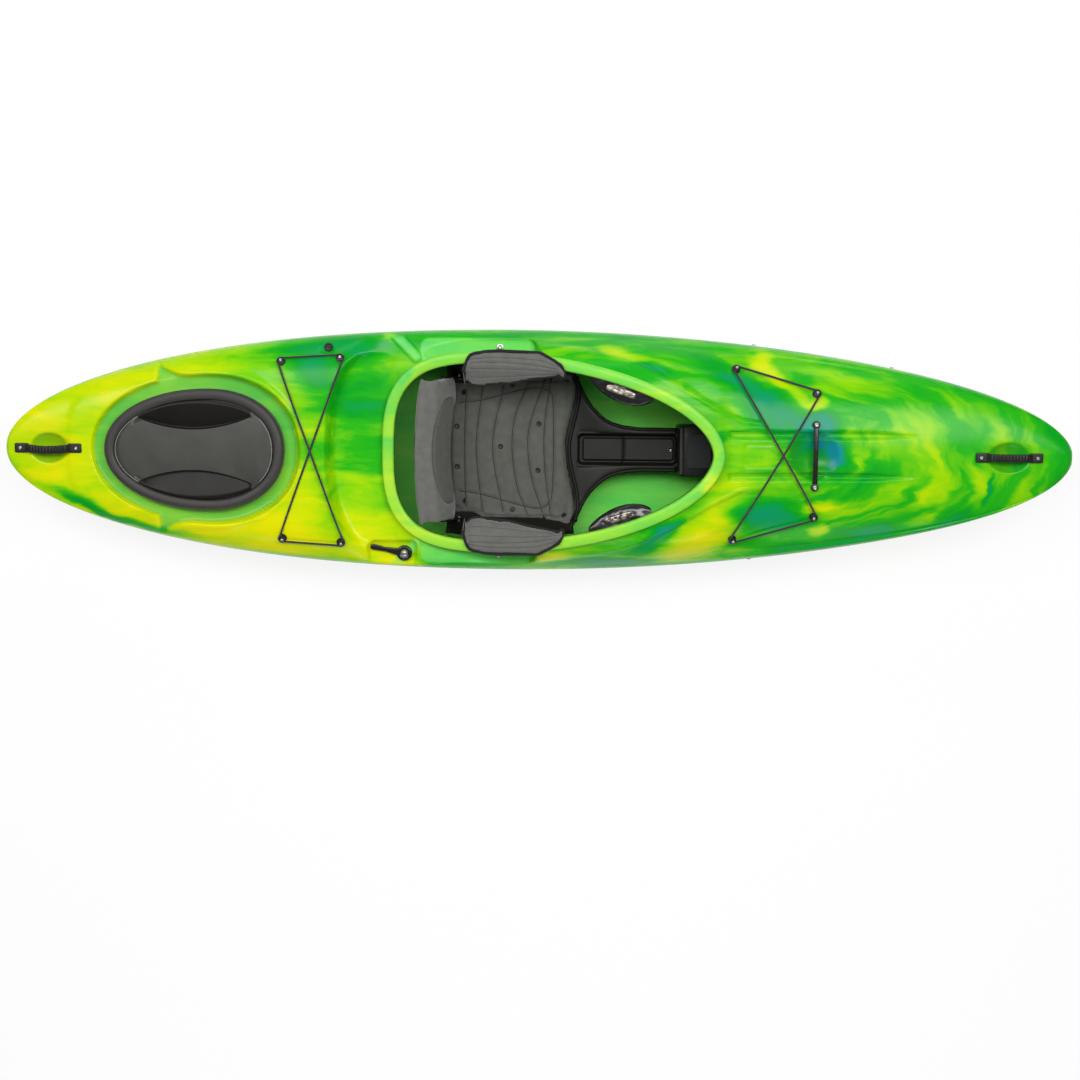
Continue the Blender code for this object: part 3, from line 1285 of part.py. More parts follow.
def build_posts(word, posts, hull_holes):
    for i, (x, y) in enumerate(post_places(posts)):
        foot, normal = on_deck(x, y, FIT), deck_normal(x, y)
        high = POST_BASE + POST_SPACE
        profile = ((POST_RADIUS, 0), (POST_RADIUS, POST_BASE), (POST_NECK, POST_BASE), (POST_NECK, high),
                   (POST_RADIUS * 0.84, high), (POST_RADIUS * 0.84, high + POST_TOP))
        name = f"{word}_post_{i + 1}"
        post = add_part(name, turned(name, profile, foot, normal, 14), "black_plastic")
        hole = (foot, normal, SCREW_RADIUS + HOLE_FIT, 0.03)
        drill(post, [hole])
        hull_holes.append(hole)
        seat = foot + normal * (high + POST_TOP + FIT)
        fastener(f"{word}_post_screw_{i + 1}", seat, normal, SCREW_RADIUS, SCREW_HEAD,
                 high + POST_TOP + 0.008, 8)


def taut_run(start, end, lift):
    """A cord pulled straight over the deck between two places: the upper hull of the deck's line."""
    samples = []
    count = 28
    for i in range(count + 1):
        spot = start.lerp(end, i / count)
        low = deck_z(spot.x, spot.y) + CORD_RADIUS * 1.25 + lift
        samples.append((i / count, spot.z if i in (0, count) else max(low, -1)))
    taut = []
    for point in samples:
        while len(taut) > 1:
            (u0, z0), (u1, z1) = taut[-2], taut[-1]
            if (z1 - z0) * (point[0] - u0) > (point[1] - z0) * (u1 - u0):
                break
            taut.pop()
        taut.append(point)
    run = []
    for u, z in taut:
        spot = start.lerp(end, u)
        run.append(Vector((spot.x, spot.y, z)))
    return run


def build_bungee(word, posts):
    """One loop of shock cord: two side runs and two diagonals, round the four post necks."""
    places = post_places(posts)
    order = [0, 1, 2, 3]
    reach = POST_NECK + CORD_RADIUS + 4 * FIT
    height = FIT + POST_BASE + POST_SPACE / 2
    middles = [on_deck(*places[i], height) for i in order]
    wraps = []
    for n, i in enumerate(order):
        centre, normal = middles[n], deck_normal(*places[i])
        before, after = middles[n - 1], middles[(n + 1) % 4]
        away = -((before - centre).normalized() + (after - centre).normalized())
        away = (away - normal * away.dot(normal)).normalized()
        side = normal.cross(away)
        if side.dot(before - centre) < 0:
            side = -side
        arc = []
        for degrees in (75, 38, 0, -38, -75):
            angle = math.radians(degrees)
            arc.append(centre + (away * math.cos(angle) + side * math.sin(angle)) * reach)
        wraps.append(arc)
    route = []
    for n in range(4):
        start, end = wraps[n][-1], wraps[(n + 1) % 4][0]
        over = 2 * CORD_RADIUS * 1.25 if n == 3 else 0.0
        route += wraps[n]
        route += taut_run(start, end, over)[1:-1]
    add_part(word + "_bungee", tube(word + "_bungee", route, CORD_RADIUS, cyclic=True), "black_cord")


def build_security_bar(hull_holes):
    """The bar over the foredeck dish, on two bosses, for a lock or a paddle."""
    crown = max(deck_z(BAR_X - BAR_WIDTH / 2, y * 0.01) for y in range(int(BAR_HALF_SPAN * 100) + 1))
    low = crown + 0.001
    top = low + BAR_THICKNESS + 0.0008
    half = BAR_WIDTH / 2
    rings = []
    for i in range(9):
        share = -1 + i / 4
        y = (BAR_HALF_SPAN + 0.002) * share
        rise = 0.003 * (1 - share ** 2)
        rings.append([(BAR_X - half, y, low + rise), (BAR_X + half, y, low + rise),
                      (BAR_X + half * 0.7, y, low + rise + BAR_THICKNESS),
                      (BAR_X - half * 0.7, y, low + rise + BAR_THICKNESS)])
    bar = add_part("security_bar", loft("security_bar", rings), "black_plastic")
    for side in (1, -1):
        y = side * BAR_HALF_SPAN
        seat = max(deck_z(BAR_X - half, y), deck_z(BAR_X - half, y - side * half)) + FIT
        boss = rod(f"bar_boss_{side}", (BAR_X, y, seat), (BAR_X, y, top), half * 1.15, 14)
        boolean(bar, add_cutter(boss.name, boss), "UNION")
        hull_holes += upright([(BAR_X, y, seat)], BOLT_RADIUS + HOLE_FIT)
        word = "left" if side > 0 else "right"
        fastener("bar_bolt_" + word, (BAR_X, y, top + FIT), (0, 0, 1), BOLT_RADIUS, BOLT_HEAD,
                 top - seat + 0.008)
    spots = [(BAR_X, side * BAR_HALF_SPAN, low) for side in (1, -1)]
    drill(bar, upright(spots, BOLT_RADIUS + HOLE_FIT, 0.06))


def build_small_fittings(hull_holes):
    low = drain_z() + FIT
    profile = ((DRAIN_STEM * 0.85, -DRAIN_LENGTH), (DRAIN_STEM, -DRAIN_LENGTH * 0.8), (DRAIN_STEM, 0.0),
               (DRAIN_RADIUS, 0.0), (DRAIN_RADIUS, 0.002), (DRAIN_RADIUS * 0.8, 0.0035))
    add_part("drain_plug", turned("drain_plug", profile, (DRAIN_X, DRAIN_Y, low), sides=18), "grey_rubber")
    for side, word in ((1, "left"), (-1, "right")):
        spot = (HIP_SCREW_X, side * HIP_SCREW_Y, LEDGE_Z + FIT)
        hull_holes += upright([spot], BOLT_RADIUS + HOLE_FIT)
        fastener("hip_screw_" + word, spot, (0, 0, 1), BOLT_RADIUS, 0.0075, WALL + TAB_THICK + 0.004, 12)


def build_kayak():
    hull = build_hull()
    holes = []
    build_hatch()
    build_foam()
    build_seat()
    build_centre_beam()
    build_seat_pad()
    build_backrest()
    for word, side in (("left", 1), ("right", -1)):
        build_hip_pad(word, side)
        build_thigh_brace(word, side)
        build_foot_brace(word, side, holes)
    build_skeg()
    build_lever(holes)
    build_handle("stern", STERN_HANDLE_X, holes)
    build_handle("bow", BOW_HANDLE_X, holes)
    build_posts("stern", STERN_POSTS, holes)
    build_posts("bow", BOW_POSTS, holes)
    build_bungee("stern", STERN_POSTS)
    build_bungee("bow", BOW_POSTS)
    build_security_bar(holes)
    build_small_fittings(holes)
    weld(hull)
    drill(hull, holes)
    weld(hull)


build_kayak()
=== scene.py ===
# %% [markdown]
# # A crossover kayak, dressed for its picture
#
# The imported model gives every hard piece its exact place. This lesson gives each of them its finish,
# and builds the pieces that a plain solid can't show well: the marbled rotomoulded shell with its
# soft edges, the hatch lid, the moulded seat and the sewn pads. Everything is in metres, with +X to
# the bow, +Y to port and +Z up.

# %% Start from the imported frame
import math

import bmesh
import bpy
import numpy as np
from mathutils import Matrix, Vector
from mathutils.bvhtree import BVHTree


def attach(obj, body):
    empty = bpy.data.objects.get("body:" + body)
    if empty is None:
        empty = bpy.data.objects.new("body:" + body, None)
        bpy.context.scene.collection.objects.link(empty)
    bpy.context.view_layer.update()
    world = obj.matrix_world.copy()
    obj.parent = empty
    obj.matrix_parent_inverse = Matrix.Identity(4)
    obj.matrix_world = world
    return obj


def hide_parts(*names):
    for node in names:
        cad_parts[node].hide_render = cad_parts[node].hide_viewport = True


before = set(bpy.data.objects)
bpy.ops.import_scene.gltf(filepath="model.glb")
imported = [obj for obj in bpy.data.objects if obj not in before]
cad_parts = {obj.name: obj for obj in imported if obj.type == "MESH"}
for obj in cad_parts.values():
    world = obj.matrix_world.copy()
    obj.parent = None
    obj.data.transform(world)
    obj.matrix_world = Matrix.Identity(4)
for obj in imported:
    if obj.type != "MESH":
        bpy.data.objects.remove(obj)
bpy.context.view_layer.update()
print("nodes in the frame:", len(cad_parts))

# %% [markdown]
# ## Camera
#
# The catalogue picture looks straight down on the deck from about five metres up, a little to port of
# the keel line, so the boat lies in the upper half of the frame with its bow a hair low. A 55 mm lens
# on a full frame sensor gives that width. The camera leans by a few degrees instead of using shift.

# %% Camera above the deck
LENS_MM, SENSOR_MM, CAMERA_HEIGHT = 54.95, 36.0, 5.0

camera = bpy.data.objects.new("deck_camera", bpy.data.cameras.new("deck_camera"))
camera.data.lens = LENS_MM
camera.data.sensor_width = SENSOR_MM
camera.location = (0.0068, 0.2956, CAMERA_HEIGHT)
camera.rotation_euler = (-0.11558, 0.00083, 0.00969)
bpy.context.scene.collection.objects.link(camera)
bpy.context.scene.camera = camera
print("camera:", LENS_MM, "mm lens,", CAMERA_HEIGHT, "m up")

# %% [markdown]
# ## Light and floor
#
# Plain studio light: a pale world fills every side, one broad soft box hangs above the cockpit and
# two over the ends, and two long ones stand beside the boat, so that the gloss of the plastic has
# something to mirror. Together they light an upward face at about one, so a colour renders as it is
# written. The floor is nearly white and keeps the boat's soft shadow.

# %% World, soft boxes and floor
WHITE, FILL, PAPER_GLOW, FLOOR_HALF = (1, 1, 1, 1), 0.24, 0.86, 30
bpy.context.scene.view_settings.view_transform = "Standard"


def linear(code):
    """A colour written as sRGB hex, as linear RGBA."""
    shares = [int(code[i:i + 2], 16) / 255 for i in (1, 3, 5)]
    return (*[c / 12.92 if c <= 0.04045 else ((c + 0.055) / 1.055) ** 2.4 for c in shares], 1.0)


def add(tree, kind, inputs=(), **settings):
    """Adds one shader node: settings are its own choices, inputs are fixed values or links.

    A node that is given as an input stands for its first output.
    """
    made = tree.nodes.new("ShaderNode" + kind)
    for key, value in settings.items():
        setattr(made, key, value)
    for key, value in dict(inputs).items():
        if isinstance(value, bpy.types.Node):
            value = value.outputs[0]
        if isinstance(value, bpy.types.NodeSocket):
            tree.links.new(value, made.inputs[key])
        else:
            made.inputs[key].default_value = value
    return made


world = bpy.data.worlds.new("studio")
bpy.context.scene.world = world
world.use_nodes = True
tree = world.node_tree
tree.nodes.clear()
rays = add(tree, "LightPath").outputs
seen = add(tree, "Math", {0: rays["Is Camera Ray"], 1: rays["Is Transmission Ray"]}, operation="MAXIMUM")
fill = add(tree, "Background", {"Color": WHITE, "Strength": FILL})
backdrop = add(tree, "Background", {"Color": WHITE, "Strength": 1.0})
add(tree, "OutputWorld", {"Surface": add(tree, "MixShader", {0: seen, 1: fill, 2: backdrop})})


def soft_box(name, place, aim, size, watts):
    """A large square lamp that looks at a point."""
    lamp = bpy.data.lights.new(name, "AREA")
    lamp.shape = "RECTANGLE"
    lamp.size, lamp.size_y = size
    lamp.energy = watts
    made = bpy.data.objects.new(name, lamp)
    made.location = place
    made.rotation_euler = (Vector(aim) - Vector(place)).to_track_quat("-Z", "Y").to_euler()
    bpy.context.scene.collection.objects.link(made)


soft_box("soft_box_over", (0.1, 1.3, 5.2), (0, 0, 0.25), (2.6, 1.2), 105)
soft_box("soft_box_aft", (-2.1, 1.4, 3.9), (0, 0, 0.25), (1.7, 1.7), 68)
soft_box("soft_box_fore", (1.9, 1.2, 4.1), (0, 0, 0.25), (1.7, 1.7), 64)
soft_box("soft_box_port", (0.4, 3.2, 1.8), (0, 0, 0.25), (3.8, 0.7), 19)
soft_box("soft_box_starboard", (0.2, -3.3, 1.8), (0, 0, 0.2), (4.0, 0.7), 26)

floor_mesh = bpy.data.meshes.new("studio_floor")
corners = [(x * FLOOR_HALF, y * FLOOR_HALF, 0) for x, y in ((-1, -1), (1, -1), (1, 1), (-1, 1))]
floor_mesh.from_pydata(corners, [], [(0, 1, 2, 3)])
floor = bpy.data.objects.new("studio_floor", floor_mesh)
floor.location.z = -0.0005
bpy.context.scene.collection.objects.link(floor)

# matt studio paper, lit a little from within, so it stays nearly white right up to the shadow
paper = bpy.data.materials.new("white_paper")
paper.use_nodes = True
tree = paper.node_tree
tree.nodes.clear()
matt = add(tree, "BsdfDiffuse", {"Color": linear("#f4f4f4"), "Roughness": 0.6})
glow = add(tree, "Emission", {"Color": WHITE, "Strength": 1.0})
camera_ray = add(tree, "LightPath").outputs["Is Camera Ray"]
whiter = add(tree, "Math", {0: camera_ray, 1: PAPER_GLOW}, operation="MULTIPLY")
add(tree, "OutputMaterial", {"Surface": add(tree, "MixShader", {0: whiter, 1: matt, 2: glow})})
floor_mesh.materials.append(paper)
print("light: world", FILL, "and five soft boxes")

# %% [markdown]
# ## The shape of the shell
#
# A rotomoulded hull is one smooth skin, so the best way to make it is a dense net of points from a
# few curves: the plan, the keel line, the crease where side meets deck, and the deck's ridge. These
# are the same curves that the solid model was drawn with, now evaluated for whole arrays at once.

# %% Curves of the hull
LENGTH, BEAM, WALL = 3.05, 0.698, 0.0055
HALF = LENGTH / 2
STERN_TIP_Z, BOW_TIP_Z = 0.262, 0.294
WIDEST_X, EDGE_Z, EDGE_SHARE = -0.055, 0.250, 0.955
RIM_AFT_Z, RIM_PEAK_Z, RIM_FORE_Z, RIM_PEAK_X, RIM_STAND = 0.278, 0.3925, 0.379, 0.360, 0.022
MOUTH_AFT, MOUTH_FORE, MOUTH_WIDEST, MOUTH_HALF, LIP = -0.414, 0.493, -0.130, 0.2525, 0.033
MOUTH_EGG = (MOUTH_AFT, MOUTH_FORE, MOUTH_WIDEST, MOUTH_HALF, 3.1, 1.82)


def ease(value, low, high):
    """A smooth step from 0 at low to 1 at high."""
    share = np.clip((np.asarray(value, float) - low) / (high - low), 0, 1)
    return share * share * (3 - 2 * share)


def powered(value, power):
    """A power that keeps the sign."""
    return np.sign(value) * np.abs(value) ** power


def half_beam(x):
    share = np.where(x > WIDEST_X, (x - WIDEST_X) / (HALF - WIDEST_X), (WIDEST_X - x) / (HALF + WIDEST_X))
    power = np.where(x > WIDEST_X, 1.83, 2.2)
    return BEAM / 2 * np.sqrt(np.maximum(0, 1 - np.clip(share, 0, 1) ** power))


def keel_z(x):
    fore, aft = np.clip((x - 0.475) / (HALF - 0.475), 0, 1), np.clip((-0.17 - x) / (HALF - 0.17), 0, 1)
    bow = BOW_TIP_Z * (0.51 * fore ** 2 + 0.49 * (1 - np.sqrt(1 - fore ** 5.7)))
    stern = STERN_TIP_Z * (0.31 * aft ** 2 + 0.69 * (1 - np.sqrt(1 - aft ** 4.3)))
    return np.where(x > 0, bow, stern)


def edge_z(x):
    bow = (BOW_TIP_Z + 0.008 - EDGE_Z) * ease(x, 0.55 * HALF, 0.98 * HALF)
    stern = (STERN_TIP_Z + 0.012 - EDGE_Z) * ease(-x, 0.75 * HALF, HALF)
    return EDGE_Z + np.where(x > 0, bow, stern)


def rim_z(x):
    fore = np.clip((x - RIM_PEAK_X) / (MOUTH_FORE + LIP - RIM_PEAK_X), 0, 1.2)
    aft = np.clip((RIM_PEAK_X - x) / (RIM_PEAK_X - MOUTH_AFT + LIP), 0, 1)
    low = RIM_AFT_Z + (RIM_PEAK_Z - RIM_AFT_Z) * (0.5 + 0.5 * np.cos(math.pi * aft)) ** 0.88
    return np.where(x > RIM_PEAK_X, RIM_PEAK_Z - (RIM_PEAK_Z - RIM_FORE_Z) * fore ** 2, low)


def egg_half(x, aft, fore, widest, half, power_aft, power_fore):
    """Half the width of an egg-shaped outline at x."""
    share = np.where(x > widest, (x - widest) / (fore - widest), (widest - x) / (widest - aft))
    power = np.where(x > widest, power_fore, power_aft)
    return half * np.maximum(0, 1 - np.clip(share, 0, 1) ** power) ** (1 / power)


def mouth_half(x):
    """Half the width of the cockpit opening."""
    return egg_half(x, *MOUTH_EGG)


def crown_power(x):
    return np.where(x > 0, 6.5 - 4.1 * ease(x, 0.6 * MOUTH_FORE, MOUTH_FORE + 0.20),
                    6.5 - 2.5 * ease(-x, 0.75 * HALF, 0.95 * HALF))


def ridge_z(x):
    """Height of the deck on the centreline, and where it would be over the cockpit."""
    tip = np.maximum(0, 0.014 - (x + HALF))
    hump = 0.284 + 0.020 * ease(x, -0.95 * HALF, -0.725) - 0.014 + np.sqrt(np.maximum(0, 0.014 ** 2 - tip ** 2))
    aft = hump + (0.260 - hump) * ease(x, -0.580, -0.440)
    lip_fore = MOUTH_FORE + LIP
    nose = 0.3205 - BOW_TIP_Z
    tip = np.maximum(0, nose - (HALF - x))
    fore = 0.362 - 0.0415 * ease(x, lip_fore - 0.20, 0.66 * HALF) - nose
    fore = fore + np.sqrt(np.maximum(0, nose ** 2 - tip ** 2))
    half = egg_half(x, MOUTH_AFT - LIP, lip_fore, MOUTH_WIDEST, MOUTH_HALF + LIP, 3.1, 1.9)
    crown = 1 - np.clip(half / np.maximum(EDGE_SHARE * half_beam(x), 1e-6), 0, 1) ** crown_power(x)
    over = edge_z(x) + np.maximum(0, rim_z(x) - RIM_STAND - edge_z(x)) / np.maximum(crown, 0.25)
    return np.where(x < MOUTH_AFT - LIP, aft, np.where(x > lip_fore, fore, over))


def deck_z(x, y):
    """Height of the bare deck."""
    share = np.clip(np.abs(y) / np.maximum(EDGE_SHARE * half_beam(x), 1e-6), 0, 1)
    return edge_z(x) + (ridge_z(x) - edge_z(x)) * (1 - share ** crown_power(x))


def at(surface, *spot):
    """A height at one spot, as a plain number."""
    return float(surface(*map(np.array, spot)))


print("deck height over the keel at the hatch:", round(at(deck_z, -0.9, 0.0), 4))

# %% [markdown]
# ## Recesses
#
# On the real boat the mould's own bosses press every recess into the deck: the hatch seat, the
# finger dishes, the grooves, the ledges beside the hips. A cutter with sharp edges would look
# machined, so each recess is a smooth lower limit on the deck's height instead. Where two heights
# meet they are blended over a few millimetres, which is the soft radius that powder moulding leaves.

# %% Outlines and soft limits
def egg(aft, fore, widest, half, power_aft, power_fore, count, grow=0.0):
    """An egg-shaped outline moved out by grow, counter-clockwise, as an array of points."""
    angle = 2 * math.pi * (np.arange(count) + 0.5) / count
    c, s = np.cos(angle), np.sin(angle)
    reach = np.where(c > 0, fore - widest, widest - aft)
    power = np.where(c > 0, power_fore, power_aft)
    spots = np.stack([widest + reach * powered(c, 2 / power), half * powered(s, 2 / power)], 1)
    along = np.roll(spots, -1, 0) - np.roll(spots, 1, 0)
    out = np.stack([along[:, 1], -along[:, 0]], 1)
    return spots + out / np.linalg.norm(out, axis=1)[:, None] * grow


def cockpit_outline(grow=0.0, count=200):
    return egg(*MOUTH_EGG, count, grow)


def hatch_outline(grow=0.0, count=160):
    return egg(-1.237, -0.725, -0.940, 0.1737, 2.05, 2.15, count, grow)


def outside(x, y, outline):
    """Distance from each point to an outline, negative inside it."""
    a = np.asarray(outline, float)
    b = np.roll(a, -1, 0)
    nearest, inside = np.full(np.shape(x), 1e9), np.zeros(np.shape(x), bool)
    for (ax, ay), (bx, by) in zip(a, b):
        ex, ey = bx - ax, by - ay
        t = np.clip(((x - ax) * ex + (y - ay) * ey) / max(ex * ex + ey * ey, 1e-12), 0, 1)
        nearest = np.minimum(nearest, (x - ax - t * ex) ** 2 + (y - ay - t * ey) ** 2)
        if ay != by:
            inside ^= ((ay > y) != (by > y)) & (x < ax + (y - ay) * ex / ey)
    return np.where(inside, -1, 1) * np.sqrt(nearest)


def soft_low(a, b, blend):
    """The lower of two heights, blended where they are close."""
    mix = np.clip(0.5 + (a - b) / (2 * blend), 0, 1)
    return a + (b - a) * mix - blend * mix * (1 - mix)


def sunk(z, distance, floor, steep=2.5, foot=0.004, blend=0.004):
    """Lowers z to a floor inside an outline, with a steep drafted wall and a round foot."""
    wall = floor + steep * foot * np.logaddexp(0, np.clip(distance / foot, -30, 60))
    return soft_low(z, wall, blend)


def box_distance(x, y, low, high, corner):
    """Distance to a rectangle with round corners, negative inside it."""
    dx = np.abs(x - (low[0] + high[0]) / 2) - (high[0] - low[0]) / 2 + corner
    dy = np.abs(y - (low[1] + high[1]) / 2) - (high[1] - low[1]) / 2 + corner
    return np.hypot(np.maximum(dx, 0), np.maximum(dy, 0)) + np.minimum(np.maximum(dx, dy), 0) - corner


def bowl(z, x, y, centre, length, width, depth):
    """A dish: the bottom of an ellipsoid."""
    sphere = (length ** 2 / 4 + depth ** 2) / (2 * depth)
    reach = ((x - centre) / sphere) ** 2 + (y * length / width / sphere) ** 2
    low = at(ridge_z, centre) - depth
    return soft_low(z, np.where(reach < 1, low + sphere * (1 - np.sqrt(np.clip(1 - reach, 0, 1))), 9), 0.003)


def to_segment(x, y, a, b):
    """Distance to a straight line between two points."""
    ex, ey = b[0] - a[0], b[1] - a[1]
    t = np.clip(((x - a[0]) * ex + (y - a[1]) * ey) / (ex * ex + ey * ey), 0, 1)
    return np.hypot(x - a[0] - t * ex, y - a[1] - t * ey)


print("outlines:", len(cockpit_outline()), "points round the cockpit")

# %% The deck with everything that the mould presses into it
STERN_HANDLE_X, BOW_HANDLE_X, BAR_X = -1.400, 1.338, 0.787
DRAIN_X, DRAIN_Y = -0.600, 0.294
HATCH_WING = [(-1.086, 0.150), (-1.086, 0.2405), (-1.069, 0.2290), (-1.048, 0.2187), (-1.0273, 0.2115),
              (-0.990, 0.2070), (-0.957, 0.2052), (-0.940, 0.150)]
LOW_DECK = [(-0.400, 0.262), (-0.440, 0.283), (-0.480, 0.279), (-0.513, 0.266), (-0.535, 0.240),
            (-0.555, 0.205), (-0.573, 0.155), (-0.584, 0.095), (-0.588, 0.032)]
SHOULDER = [(-0.100, 0.322), (-0.019, 0.3154), (0.100, 0.300), (0.226, 0.278), (0.310, 0.245),
            (0.398, 0.200), (0.490, 0.145), (0.577, 0.103), (0.660, 0.092), (0.800, 0.098), (0.950, 0.112),
            (1.060, 0.113), (1.130, 0.095), (1.175, 0.055), (1.190, 0.018)]
AFT_SHOULDER = [(-1.344, -0.1), (-1.344, 0.060), (-1.337, 0.100), (-1.318, 0.142), (-1.290, 0.172),
                (-1.240, 0.198), (-1.170, 0.222), (-1.100, 0.238), (-0.90, 0.238), (-0.90, -0.1)]
STRIP = ((-0.424, 0.345), (-0.350, 0.268))
LEDGE = ((-0.338, 0.2485), (-0.012, 0.323), 0.026)


def hatch_shelf(x, side):
    """Distance to the seat of the hatch with its wings, negative inside it."""
    return np.minimum(outside(x, side, hatch_outline(0.036)), outside(x, side, HATCH_WING))


def recessed(x, y, z):
    """The deck's height once its recesses are pressed in."""
    side = np.abs(y)
    plateau = outside(x, side, SHOULDER + [(1.190, -0.1), (-0.100, -0.1)])
    trough = ease(x, -0.06, 0.02) * (1 - 0.97 * ease(x, 0.56, 0.66))
    z = z - 0.0058 * trough * ease(plateau, -0.004, 0.005) * (1 - ease(plateau, 0.008, 0.070))
    z = z + 0.0022 * trough * np.exp(-((plateau + 0.005) / 0.006) ** 2)
    hump = outside(x, side, AFT_SHOULDER)
    z = z + 0.0035 * (1 - ease(hump, -0.012, 0.012)) * (1 - ease(x, -1.12, -1.04))
    around = hatch_shelf(x, side)
    z = z + 0.0045 * np.exp(-((around - 0.013) / 0.009) ** 2) * ease(x, -1.14, -1.04)
    bare = z
    z = sunk(z, around, np.minimum(0.274, bare - 0.0120), 3.2, 0.0025, 0.0030)
    crease = side / np.maximum(EDGE_SHARE * half_beam(x), 1e-6)
    rolled = 0.0012 * np.exp(-((crease - 0.985) / 0.008) ** 2) - 0.0030 * np.exp(-((crease - 0.955) / 0.014) ** 2)
    z = z + rolled * ease(x, 0.25, 0.45) * (1 - ease(x, 1.40, 1.47))
    z = bowl(z, x, y, STERN_HANDLE_X, 0.112, 0.091, 0.018)
    z = bowl(z, x, y, BOW_HANDLE_X, 0.1232, 0.091, 0.018)
    z = bowl(z, x, y, BAR_X, 0.147, 0.147, 0.024)
    share = (x - 0.540) / 0.525
    groove = 0.0125 * np.clip((1.02 - share) * 4, 0, 1) ** 0.7
    inside = (1 - ease(np.abs(side - 0.059), 0.35 * groove, groove + 0.0015)) * ease(share, -0.012, 0.012)
    z = z - 0.011 * inside * np.clip((1.06 - share) * 4, 0, 1) * (share < 1.02)
    panel = box_distance(x, y, (0.586, -0.031), (0.685, 0.031), 0.006)
    z = z - 0.0016 * (1 - ease(np.abs(panel), 0.0015, 0.004))
    low = LOW_DECK + [(bx, -by) for bx, by in reversed(LOW_DECK)]
    z = sunk(z, outside(x, y, low), 0.2555, 2.2, 0.005, 0.006)
    z = z + 0.0048 * (1 - ease(to_segment(x, side, *STRIP), 0.010, 0.016)) * (1 - ease(side, 0.322, 0.332))
    z = sunk(z, box_distance(x, side, *LEDGE), 0.2600, 3.0, 0.0025, 0.003)
    pocket = box_distance(x, y, (-0.487, -0.420), (-0.352, -0.262), 0.018)
    z = sunk(z, pocket, 0.243, 3.0, 0.003, 0.004)
    drain = np.hypot(x - DRAIN_X, y - DRAIN_Y) - 0.016
    return sunk(z, drain, at(deck_z, DRAIN_X, DRAIN_Y) - 0.0025, 2.0, 0.002, 0.002)


low_spot = recessed(np.array(-0.48), np.array(0.1), np.array(0.29))
print("low deck behind the coaming:", round(float(low_spot), 4))

# %% [markdown]
# ## The skin
#
# The net runs round each cross-section: the flat bottom, the round chine, the side that leans back in
# to the crease, and the deck. Rows are closer together where the deck has detail. Faces inside the
# cockpit, the hatch throat and the skeg slot are left out, and a Solidify modifier then gives the
# skin its wall, so the rims and the inside of the boat are real too.

# %% Helpers that make an object from a net of points
def piece(name, points, faces, finish, body="boat"):
    """A mesh object that rides on one body of the boat."""
    mesh = bpy.data.meshes.new(name)
    mesh.from_pydata(np.asarray(points, float).tolist(), [], [tuple(map(int, f)) for f in faces])
    mesh.update()
    bm = bmesh.new()
    bm.from_mesh(mesh)
    bmesh.ops.delete(bm, geom=[v for v in bm.verts if not v.link_faces], context="VERTS")
    bmesh.ops.recalc_face_normals(bm, faces=bm.faces)
    bm.to_mesh(mesh)
    bm.free()
    mesh.shade_smooth()
    mesh.materials.append(finish)
    made = bpy.data.objects.new(name, mesh)
    bpy.context.scene.collection.objects.link(made)
    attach(made, body)
    return made


def coordinates(mesh, what="co"):
    """The places of a mesh's points, or their normals."""
    flat = np.empty(len(mesh.vertices) * 3)
    mesh.vertices.foreach_get(what, flat)
    return flat.reshape(-1, 3)


def walled(made, thickness):
    """Gives a net a wall of that thickness, on its inner side."""
    wall = made.modifiers.new("wall", "SOLIDIFY")
    wall.thickness, wall.offset = thickness, -1.0
    return wall


def net_faces(rows, columns, wrap=False, keep=None):
    """Quads of a net of rows by columns; keep chooses some of them."""
    wide = columns if wrap else columns - 1
    r, c = np.meshgrid(np.arange(rows - 1), np.arange(wide), indexing="ij")
    if keep is not None:
        r, c = r[keep], c[keep]
    r, c = r.ravel(), c.ravel()
    after = (c + 1) % columns
    return np.stack([r * columns + c, r * columns + after, (r + 1) * columns + after, (r + 1) * columns + c], 1)


def ring_net(name, rings, finish, body="boat", closed=True):
    """Skins a list of rings of points; closed joins the last ring to the first."""
    rings = np.asarray(rings, float)
    rows, columns = rings.shape[:2]
    faces = net_faces(rows, columns, wrap=True)
    if closed:
        last, c = (rows - 1) * columns, np.arange(columns)
        after = (c + 1) % columns
        faces = np.concatenate([faces, np.stack([last + c, last + after, after, c], 1)])
        caps = []
    else:
        caps = [list(range(columns)), list(range((rows - 1) * columns, rows * columns))]
    return piece(name, rings.reshape(-1, 3), list(faces) + caps, finish, body)


# %% [markdown]
# ## Marbled polyethylene
#
# The shell is linear polyethylene powder, rotationally moulded with several colours in one charge, so
# yellow, lime, green and teal run into each other in soft streaks. The eye reads a waxy, slightly
# mottled gloss: an IOR of 1.51, a roughness from 0.16 to 0.27 and a faint ripple in the surface.
#
# Yellow turns to teal through lime and green, never straight, so one number carries the colour: 0 is
# yellow and 1 is teal. A few broad patches push that number up or down, and noise that is stretched
# along the boat drags their edges into streaks of 20 to 200 mm.

# %% Marbled polyethylene
def new_material(name):
    """An empty material: itself, its tree and the place on the object."""
    made = bpy.data.materials.new(name)
    made.use_nodes = True
    made.node_tree.nodes.clear()
    return made, made.node_tree, add(made.node_tree, "TexCoord").outputs["Object"]


def shaded(made, look):
    """Gives a material its shader, with what the shader's sockets take."""
    shader = add(made.node_tree, "BsdfPrincipled", look)
    add(made.node_tree, "OutputMaterial", {"Surface": shader})
    return made


